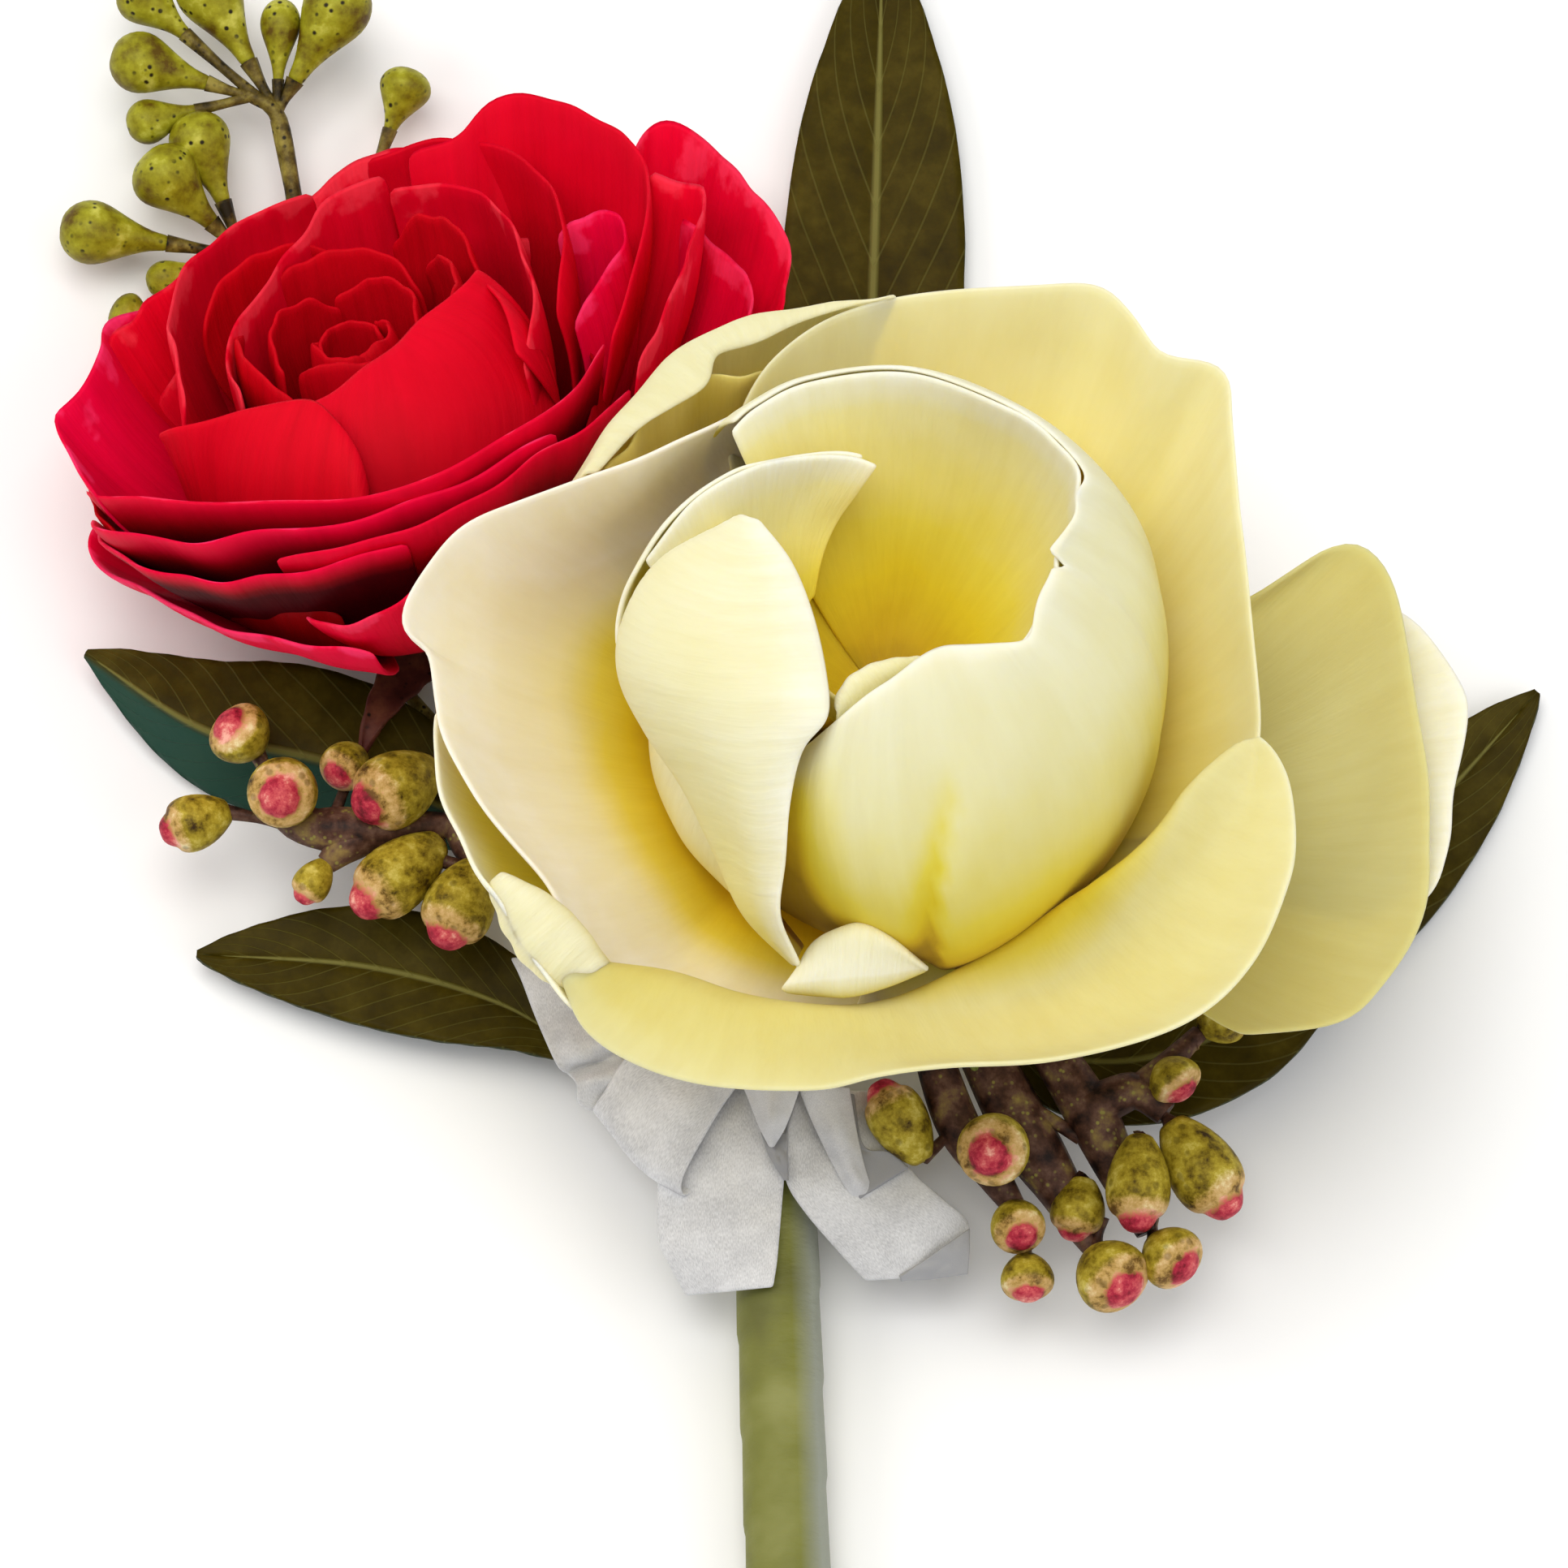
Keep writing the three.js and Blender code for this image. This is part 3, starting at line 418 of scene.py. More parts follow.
def leafMaterial(name, stops, underside):
    # leathery leaf, grown: a faintly waxed skin, a pale midrib, side veins slanting to the edge
    material, tree, shader = newMaterial(name)
    uv = addNode(tree, "ShaderNodeUVMap", uv_map="UVMap")
    place = addNode(tree, "ShaderNodeTexCoord")
    parts = addNode(tree, "ShaderNodeSeparateXYZ", {"Vector": uv.outputs["UV"]})
    off = addNode(tree, "ShaderNodeMath", {0: parts.outputs["X"], 1: -0.5}, operation="ADD")
    across = addNode(tree, "ShaderNodeMath", {0: off.outputs[0]}, operation="ABSOLUTE")
    cloud = addNode(tree, "ShaderNodeTexNoise", {"Vector": place.outputs["Object"], "Scale": 240, "Detail": 5,
                                                 "Roughness": 0.65})
    body = addNode(tree, "ShaderNodeValToRGB", {"Fac": cloud.outputs["Fac"]}, stops)
    # side veins every tenth of the length, bending towards the tip
    slant = addNode(tree, "ShaderNodeMath", {0: across.outputs[0], 1: -0.5, 2: parts.outputs["Y"]},
                    operation="MULTIPLY_ADD")
    beat = addNode(tree, "ShaderNodeMath", {0: slant.outputs[0], 1: 2 * math.pi * 13}, operation="MULTIPLY")
    wave = addNode(tree, "ShaderNodeMath", {0: beat.outputs[0]}, operation="SINE")
    sideVein = addNode(tree, "ShaderNodeMapRange", {"Value": wave.outputs[0], "From Min": 0.93, "From Max": 1.0})
    midrib = addNode(tree, "ShaderNodeMapRange", {"Value": across.outputs[0], "From Min": 0.035,
                                                  "From Max": 0.012})
    veins = addNode(tree, "ShaderNodeMath", {0: sideVein.outputs["Result"], 1: 0.28,
                                             2: midrib.outputs["Result"]}, operation="MULTIPLY_ADD")
    veined = addNode(tree, "ShaderNodeMix", {"Factor": veins.outputs[0], "A": body.outputs["Color"],
                                             "B": linear("#6f6a34")}, data_type="RGBA")
    side = addNode(tree, "ShaderNodeAttribute", attribute_name="side")
    turned = addNode(tree, "ShaderNodeMix", {"Factor": side.outputs["Fac"], "A": veined.outputs["Result"],
                                             "B": linear(underside)}, data_type="RGBA")
    tree.links.new(turned.outputs["Result"], shader.inputs["Base Color"])
    bump = addNode(tree, "ShaderNodeBump", {"Height": veins.outputs[0], "Strength": 0.5, "Distance": 0.0004})
    skin = addNode(tree, "ShaderNodeTexNoise", {"Vector": place.outputs["Object"], "Scale": 900, "Detail": 3})
    fine = addNode(tree, "ShaderNodeBump", {"Height": skin.outputs["Fac"], "Strength": 0.25, "Distance": 0.00015,
                                            "Normal": bump.outputs["Normal"]})
    tree.links.new(fine.outputs["Normal"], shader.inputs["Normal"])
    shader.inputs["Roughness"].default_value = 0.5
    shader.inputs["IOR"].default_value = 1.45
    shader.inputs["Specular IOR Level"].default_value = 0.08
    return material


def cappedBudMaterial():
    # gum bud, grown: a speckled olive cup, a pale corky rim and a pink cap that is lighter in spots
    material, tree, shader = newMaterial("cappedGumBud")
    place = addNode(tree, "ShaderNodeTexCoord")
    along = addNode(tree, "ShaderNodeAttribute", attribute_name="along")
    cloud = addNode(tree, "ShaderNodeTexNoise", {"Vector": place.outputs["Object"], "Scale": 520, "Detail": 6,
                                                 "Roughness": 0.7})
    cup = addNode(tree, "ShaderNodeValToRGB", {"Fac": cloud.outputs["Fac"]},
                  [(0.34, "#3a2808"), (0.7, "#d8c868"), (0.44, "#847018"), (0.56, "#b09c30")])
    rim = addNode(tree, "ShaderNodeValToRGB", {"Fac": cloud.outputs["Fac"]},
                  [(0.36, "#6a4a1c"), (0.66, "#e8d8a4"), (0.46, "#b89450"), (0.56, "#d2ae74")])
    cap = addNode(tree, "ShaderNodeValToRGB", {"Fac": cloud.outputs["Fac"]},
                  [(0.36, "#6e1220"), (0.68, "#f0b09c"), (0.48, "#b02c40"), (0.58, "#d05a5c")])
    jitter = addNode(tree, "ShaderNodeMath", {0: cloud.outputs["Fac"], 1: 0.3, 2: along.outputs["Fac"]},
                     operation="MULTIPLY_ADD")
    isRim = addNode(tree, "ShaderNodeMapRange", {"Value": jitter.outputs[0], "From Min": 0.82, "From Max": 0.9})
    isCap = addNode(tree, "ShaderNodeMapRange", {"Value": jitter.outputs[0], "From Min": 0.97, "From Max": 1.02})
    rimmed = addNode(tree, "ShaderNodeMix", {"Factor": isRim.outputs["Result"], "A": cup.outputs["Color"],
                                             "B": rim.outputs["Color"]}, data_type="RGBA")
    # dark oil specks on the cup and its rim
    cells = addNode(tree, "ShaderNodeTexVoronoi", {"Vector": place.outputs["Object"], "Scale": 900})
    dots = addNode(tree, "ShaderNodeValToRGB", {"Fac": cells.outputs["Distance"]},
                   [(0.2, "#a8a8a8"), (0.34, "#000000")])
    specked = addNode(tree, "ShaderNodeMix", {"Factor": dots.outputs["Color"], "A": rimmed.outputs["Result"],
                                              "B": linear("#2a1a0c")}, data_type="RGBA")
    capped = addNode(tree, "ShaderNodeMix", {"Factor": isCap.outputs["Result"], "A": specked.outputs["Result"],
                                             "B": cap.outputs["Color"]}, data_type="RGBA")
    tree.links.new(capped.outputs["Result"], shader.inputs["Base Color"])
    skin = addNode(tree, "ShaderNodeTexNoise", {"Vector": place.outputs["Object"], "Scale": 1100, "Detail": 3})
    bump = addNode(tree, "ShaderNodeBump", {"Height": skin.outputs["Fac"], "Strength": 0.45, "Distance": 0.0002})
    tree.links.new(bump.outputs["Normal"], shader.inputs["Normal"])
    shader.inputs["Roughness"].default_value = 0.5
    shader.inputs["IOR"].default_value = 1.45
    shader.inputs["Specular IOR Level"].default_value = 0.16
    return material


def satinMaterial():
    # satin ribbon, woven: long floats of polyester along the ribbon give a broad soft shine;
    # the threads are drawn 0.1 mm wide, coarser than they are, so that they show
    material, tree, shader = newMaterial("satinRibbon")
    uv = addNode(tree, "ShaderNodeUVMap", uv_map="UVMap")
    place = addNode(tree, "ShaderNodeTexCoord")
    stretch = addNode(tree, "ShaderNodeMapping", {"Vector": uv.outputs["UV"], "Scale": (110, 60, 1)})
    thread = addNode(tree, "ShaderNodeTexNoise", {"Vector": stretch.outputs["Vector"], "Scale": 1, "Detail": 3})
    mottle = addNode(tree, "ShaderNodeTexNoise", {"Vector": place.outputs["Object"], "Scale": 260, "Detail": 6,
                                                  "Roughness": 0.7})
    both = addNode(tree, "ShaderNodeMath", {0: thread.outputs["Fac"], 1: mottle.outputs["Fac"]}, operation="ADD")
    half = addNode(tree, "ShaderNodeMath", {0: both.outputs[0], 1: 0.5}, operation="MULTIPLY")
    tone = addNode(tree, "ShaderNodeValToRGB", {"Fac": half.outputs[0]},
                   [(0.38, "#b6b6b8"), (0.62, "#dfdfe0"), (0.5, "#cdcdce")])
    # painted shade: the layers that lie under others, and the corner that is turned over, are mixed towards grey
    ribbonShade = addNode(tree, "ShaderNodeAttribute", attribute_name="ribbonShade")
    ribbonShaded = addNode(tree, "ShaderNodeMix", {"Factor": ribbonShade.outputs["Fac"], "A": tone.outputs["Color"],
                                             "B": linear("#8c8c8e")}, data_type="RGBA")
    tree.links.new(ribbonShaded.outputs["Result"], shader.inputs["Base Color"])
    bump = addNode(tree, "ShaderNodeBump", {"Height": half.outputs[0], "Strength": 0.16, "Distance": 0.0002})
    tree.links.new(bump.outputs["Normal"], shader.inputs["Normal"])
    shader.inputs["Roughness"].default_value = 0.38
    shader.inputs["Sheen Weight"].default_value = 0.3
    shader.inputs["Sheen Roughness"].default_value = 0.35
    return material


def tapeMaterial():
    # floral tape, waxed crepe paper wound in a spiral: fine crinkles across it, faint waxy sheen
    material, tree, shader = newMaterial("floralTape")
    place = addNode(tree, "ShaderNodeTexCoord")
    uv = addNode(tree, "ShaderNodeUVMap", uv_map="UVMap")
    parts = addNode(tree, "ShaderNodeSeparateXYZ", {"Vector": uv.outputs["UV"]})
    cloud = addNode(tree, "ShaderNodeTexNoise", {"Vector": place.outputs["Object"], "Scale": 130, "Detail": 3})
    green = addNode(tree, "ShaderNodeValToRGB", {"Fac": cloud.outputs["Fac"]},
                    [(0.3, "#5e5f20"), (0.7, "#868747"), (0.5, "#717328")])
    # the side that faces right is painted a greyer green
    grey = addNode(tree, "ShaderNodeMapRange", {"Value": parts.outputs["X"], "From Min": 0.2, "From Max": 0.1})
    mixed = addNode(tree, "ShaderNodeMix", {"Factor": grey.outputs["Result"], "A": green.outputs["Color"],
                                            "B": linear("#8f9384")}, data_type="RGBA")
    tree.links.new(mixed.outputs["Result"], shader.inputs["Base Color"])
    stretch = addNode(tree, "ShaderNodeMapping", {"Vector": uv.outputs["UV"], "Rotation": (0, 0, 0.5),
                                                  "Scale": (14, 90, 1)})
    crinkle = addNode(tree, "ShaderNodeTexNoise", {"Vector": stretch.outputs["Vector"], "Scale": 1, "Detail": 3})
    bump = addNode(tree, "ShaderNodeBump", {"Height": crinkle.outputs["Fac"], "Strength": 0.4, "Distance": 0.0003})
    tree.links.new(bump.outputs["Normal"], shader.inputs["Normal"])
    shader.inputs["Roughness"].default_value = 0.62
    return material


creamSkin = creamPetalMaterial()
redSkin = redPetalMaterial()
print("petal materials made")


def roseFrame(rose, shift=(0, 0)):
    up = Vector(rose["axis"]).normalized()
    right = Vector(rose["zero"])
    right = (right - up * right.dot(up)).normalized()
    ahead = up.cross(right)
    base = Vector(rose["base"]) + right * shift[0] + ahead * shift[1]
    return np.array([right, ahead, up]), np.array(base)


def arc(azimuth, half, radius, height, drop=2, lean=0, points=7):
    # a petal's rim as part of a ring; its shoulders drop and one end may lean out
    rim = []
    for s in np.linspace(-1, 1, points):
        rim.append([azimuth + half * s, radius + lean * s, height - drop * abs(s) ** 3])
    return rim


# how a petal rises from root to rim: two handles of its middle line, as [radius, height] shares
# of the rim's own and a part that is added
holds = {
    "stack": ((0.55, 0, 0, 1), (0.93, -1.4, 0.62, -0.5)),
    "open": ((0.42, 0, 0.06, 0.4), (0.86, 0, 0.4, 0)),
    "flat": ((0.4, 0, 0, 0.6), (0.8, 0, 0.2, 0.4)),
    "cup": ((0.5, 3.5, 0.02, 0), (1.02, 1.4, 0.55, 0)),
    "hood": ((0, 17, 0, 1), (0, 13.5, 0, 21)),
    "shell": ((0, 19, 0, 1), (0, 17, 0, 18)),
    "heart": ((0.6, 2.4, 0.4, 0), (1.05, 0.7, 0.8, 0)),
}


def spreadTo(places, values, wanted):
    # values given at some places, read at others
    order = np.argsort(places)
    return np.interp(wanted, np.asarray(places, float)[order], np.asarray(values, float)[order])


def sampled(values, u, v):
    # a value known at the points of a grid, read anywhere on the sheet
    rows, columns = values.shape
    x, y = u * (columns - 1), v * (rows - 1)
    i, j = np.minimum(x.astype(int), columns - 2), np.minimum(y.astype(int), rows - 2)
    x, y = x - i, y - j
    return ((values[j, i] * (1 - x) + values[j, i + 1] * x) * (1 - y)
            + (values[j + 1, i] * (1 - x) + values[j + 1, i + 1] * x) * y)


def polarLine(points, count):
    # [azimuth, radius, height] marks as an evenly spaced line of points in the rose's own frame
    polar = np.array(points, float)
    angle = np.radians(polar[:, 0])
    return smoothLine(np.stack([polar[:, 1] * np.cos(angle), polar[:, 1] * np.sin(angle), polar[:, 2]], 1), count)


def risingPetal(setting, columns, rows, index):
    # every column of the petal rises from the root to its own point of the rim
    line = polarLine(setting["rim"], columns + 1)
    azimuth = np.unwrap(np.arctan2(line[:, 1], line[:, 0]))
    first = math.radians(setting["rim"][0][0])
    azimuth += 2 * math.pi * round((first - azimuth[0]) / (2 * math.pi))
    radius, height = np.hypot(line[:, 0], line[:, 1]), line[:, 2]
    s = np.linspace(0, 1, columns + 1)
    v = (np.linspace(0, 1, rows + 1) ** 0.9)[:, None] * (1 + setting["ragged"] * roughness(
        np.stack([s * 9, s * 0, s * 0], 1), 1, index + 0.37))[None, :]
    for place, width, share in setting["tears"]:
        v = v * (1 - share * np.clip(1 - np.abs(np.degrees(azimuth) - place) / width, 0, 1))[None, :]
    if setting["handles"]:
        marks = np.array(setting["handles"], float)
        r1, h1, r2, h2 = (spreadTo(marks[:, 0], marks[:, k], np.degrees(azimuth)) for k in (1, 2, 3, 4))
    else:
        (a, b, c, d), (e, f, g, k) = holds[setting["hold"]]
        r1, h1, r2, h2 = a * radius + b, c * height + d, e * radius + f, g * height + k
    weights = ((1 - v) ** 3, 3 * (1 - v) ** 2 * v, 3 * (1 - v) * v ** 2, v ** 3)
    r = sum(w * x for w, x in zip(weights, (setting["root"][0], r1, r2, radius)))
    h = sum(w * x for w, x in zip(weights, (setting["root"][1], h1, h2, height)))
    low = azimuth
    if setting["belly"]:
        ends = sorted(np.radians(setting["belly"]), reverse=bool(azimuth[-1] < azimuth[0]))
        low = ends[0] + (ends[1] - ends[0]) * s
        low = low + 2 * math.pi * round((azimuth.mean() - low.mean()) / (2 * math.pi))
    around = low + (azimuth - low) * smoothstep(v, 0.35, 1)
    middle = low.mean()
    around = middle + (around - middle) * (setting["claw"] + (1 - setting["claw"]) * smoothstep(v, 0, 0.6))
    return np.stack([r * np.cos(around), r * np.sin(around), h], 2), np.degrees(around)


def ribbedPetal(setting, columns, rows):
    # a petal laid smoothly over several cross lines
    ribs = np.array([polarLine(rib, columns + 1) for rib in setting["ribs"]])
    local = np.stack([smoothLine(ribs[:, column], rows + 1) for column in range(columns + 1)], 1)
    return local, np.degrees(np.arctan2(local[:, :, 1], local[:, :, 0])) % 360


def petalPiece(rose, petal, index):
    setting = {"hold": "open", "claw": 0.4, "root": (3, 1), "columns": 26, "rows": 16, "thickness": 0.42,
               "uneven": 0.5, "pleat": 0.12, "ragged": 0.012, "warm": 0, "tone": 0.5, "belly": None,
               "shift": (0, 0), "gold": 1.0, "handles": None, "ribs": None, "tears": [], "shade": None,
               "inside": 0.0, "fold": None, "sides": None, "fade": rose["fade"], **rose.get("petal", {}), **petal}
    axes, base = roseFrame(rose, setting["shift"])
    columns, rows = setting["columns"], setting["rows"]
    if setting["ribs"]:
        local, around = ribbedPetal(setting, columns, rows)
    else:
        local, around = risingPetal(setting, columns, rows, index)
    s, v = np.linspace(0, 1, columns + 1)[None, :], np.linspace(0, 1, rows + 1)[:, None]
    along, over = np.gradient(local, axis=1), np.gradient(local, axis=0)
    normal = np.cross(along, over)
    if (normal * local * (1, 1, 0)).sum() < 0:
        normal = -normal  # the side that looks away from the rose's middle
    normal /= np.linalg.norm(normal, axis=2, keepdims=True) + 1e-9
    push = roughness(local.reshape(-1, 3), 0.11, 3.1 * index).reshape(local.shape[:2]) * setting["uneven"]
    push = push + np.sin(s * 2 * math.pi * 4.5 + index) * setting["pleat"]
    push = push * np.clip(v, 0, 1) ** 1.4
    if setting["fold"]:
        # the part past this line lies a little over the part before it
        marks, step, reach = setting["fold"]
        line = spreadTo([m[1] for m in marks], [m[0] for m in marks], local[:, :, 2])
        past = around - line
        low = 1 - smoothstep(local[:, :, 2], marks[0][1] - 8, marks[0][1])
        push = push + step * smoothstep(past, -1, 1) * (1 - smoothstep(past, 3, reach)) * low
        # painted shadow in a strip just before the line, where the part past it lies over
        foldShadow = 0.3 * smoothstep(past, -9, -1) * (1 - smoothstep(past, -1, 0.6)) * low
    local = local + normal * push[:, :, None]
    placed = local @ axes + base
    placed[:, :, 2] = np.maximum(placed[:, :, 2], 0.5 - bindingPoint[2])  # none dips into the table
    piece = shapedGrid(f"petal{index}", placed, setting["thickness"])
    # how deep each point lies among the petals: 0 at the rim, 1 in the crevice; coloured as the petals' own deeper
    # tint towards the base with painted shade where they crowd
    mesh = piece.data
    uv = np.empty(len(mesh.loops) * 2)
    mesh.uv_layers.active.data.foreach_get("uv", uv)
    corner = np.empty(len(mesh.loops), int)
    mesh.loops.foreach_get("vertex_index", corner)
    place, reach = np.zeros(len(mesh.vertices)), np.zeros(len(mesh.vertices))
    place[corner] = np.clip(uv.reshape(-1, 2)[:, 0], 0, 1)
    reach[corner] = np.clip(uv.reshape(-1, 2)[:, 1], 0, 1)
    if setting["shade"]:
        marks = np.array(setting["shade"], float)
        depth = np.interp(reach, marks[:, 0], marks[:, 1])
    else:
        depth = (1 - reach) ** setting["fade"] * setting["gold"] + setting["warm"]
    # the faces that look in towards the middle are painted deeper: painted shade, and a painted glow of light
    # through the petals
    if setting["inside"]:
        facing = np.empty(len(mesh.vertices) * 3)
        mesh.vertices.foreach_get("normal", facing)
        spot = np.empty(len(mesh.vertices) * 3)
        mesh.vertices.foreach_get("co", spot)
        spot = (spot.reshape(-1, 3) / mm - np.array(bindingPoint) - base) @ axes.T
        facing = facing.reshape(-1, 3) @ axes.T
        inward = -(facing[:, :2] * spot[:, :2]).sum(1) / (np.linalg.norm(spot[:, :2], axis=1) + 1e-6)
        depth = depth + setting["inside"] * smoothstep(inward, -0.1, 0.3) * smoothstep(1 - reach, 0.03, 0.2)
    # sides: painted shade across the petal's width, kept off the rim; below nought it is painted light
    if setting["sides"]:
        marks = np.array(setting["sides"], float)
        depth = depth + np.interp(place, marks[:, 0], marks[:, 1]) * smoothstep(1 - reach, 0.03, 0.2)
    if setting["fold"]:
        depth = depth + sampled(foldShadow, place, reach)
    setAttribute(piece, "depth", np.clip(depth, 0, 1))
    tone = np.array(setting["tone"], float)
    setAttribute(piece, "tone", np.interp(place, tone[:, 0], tone[:, 1]) if tone.ndim else float(tone))
    return piece


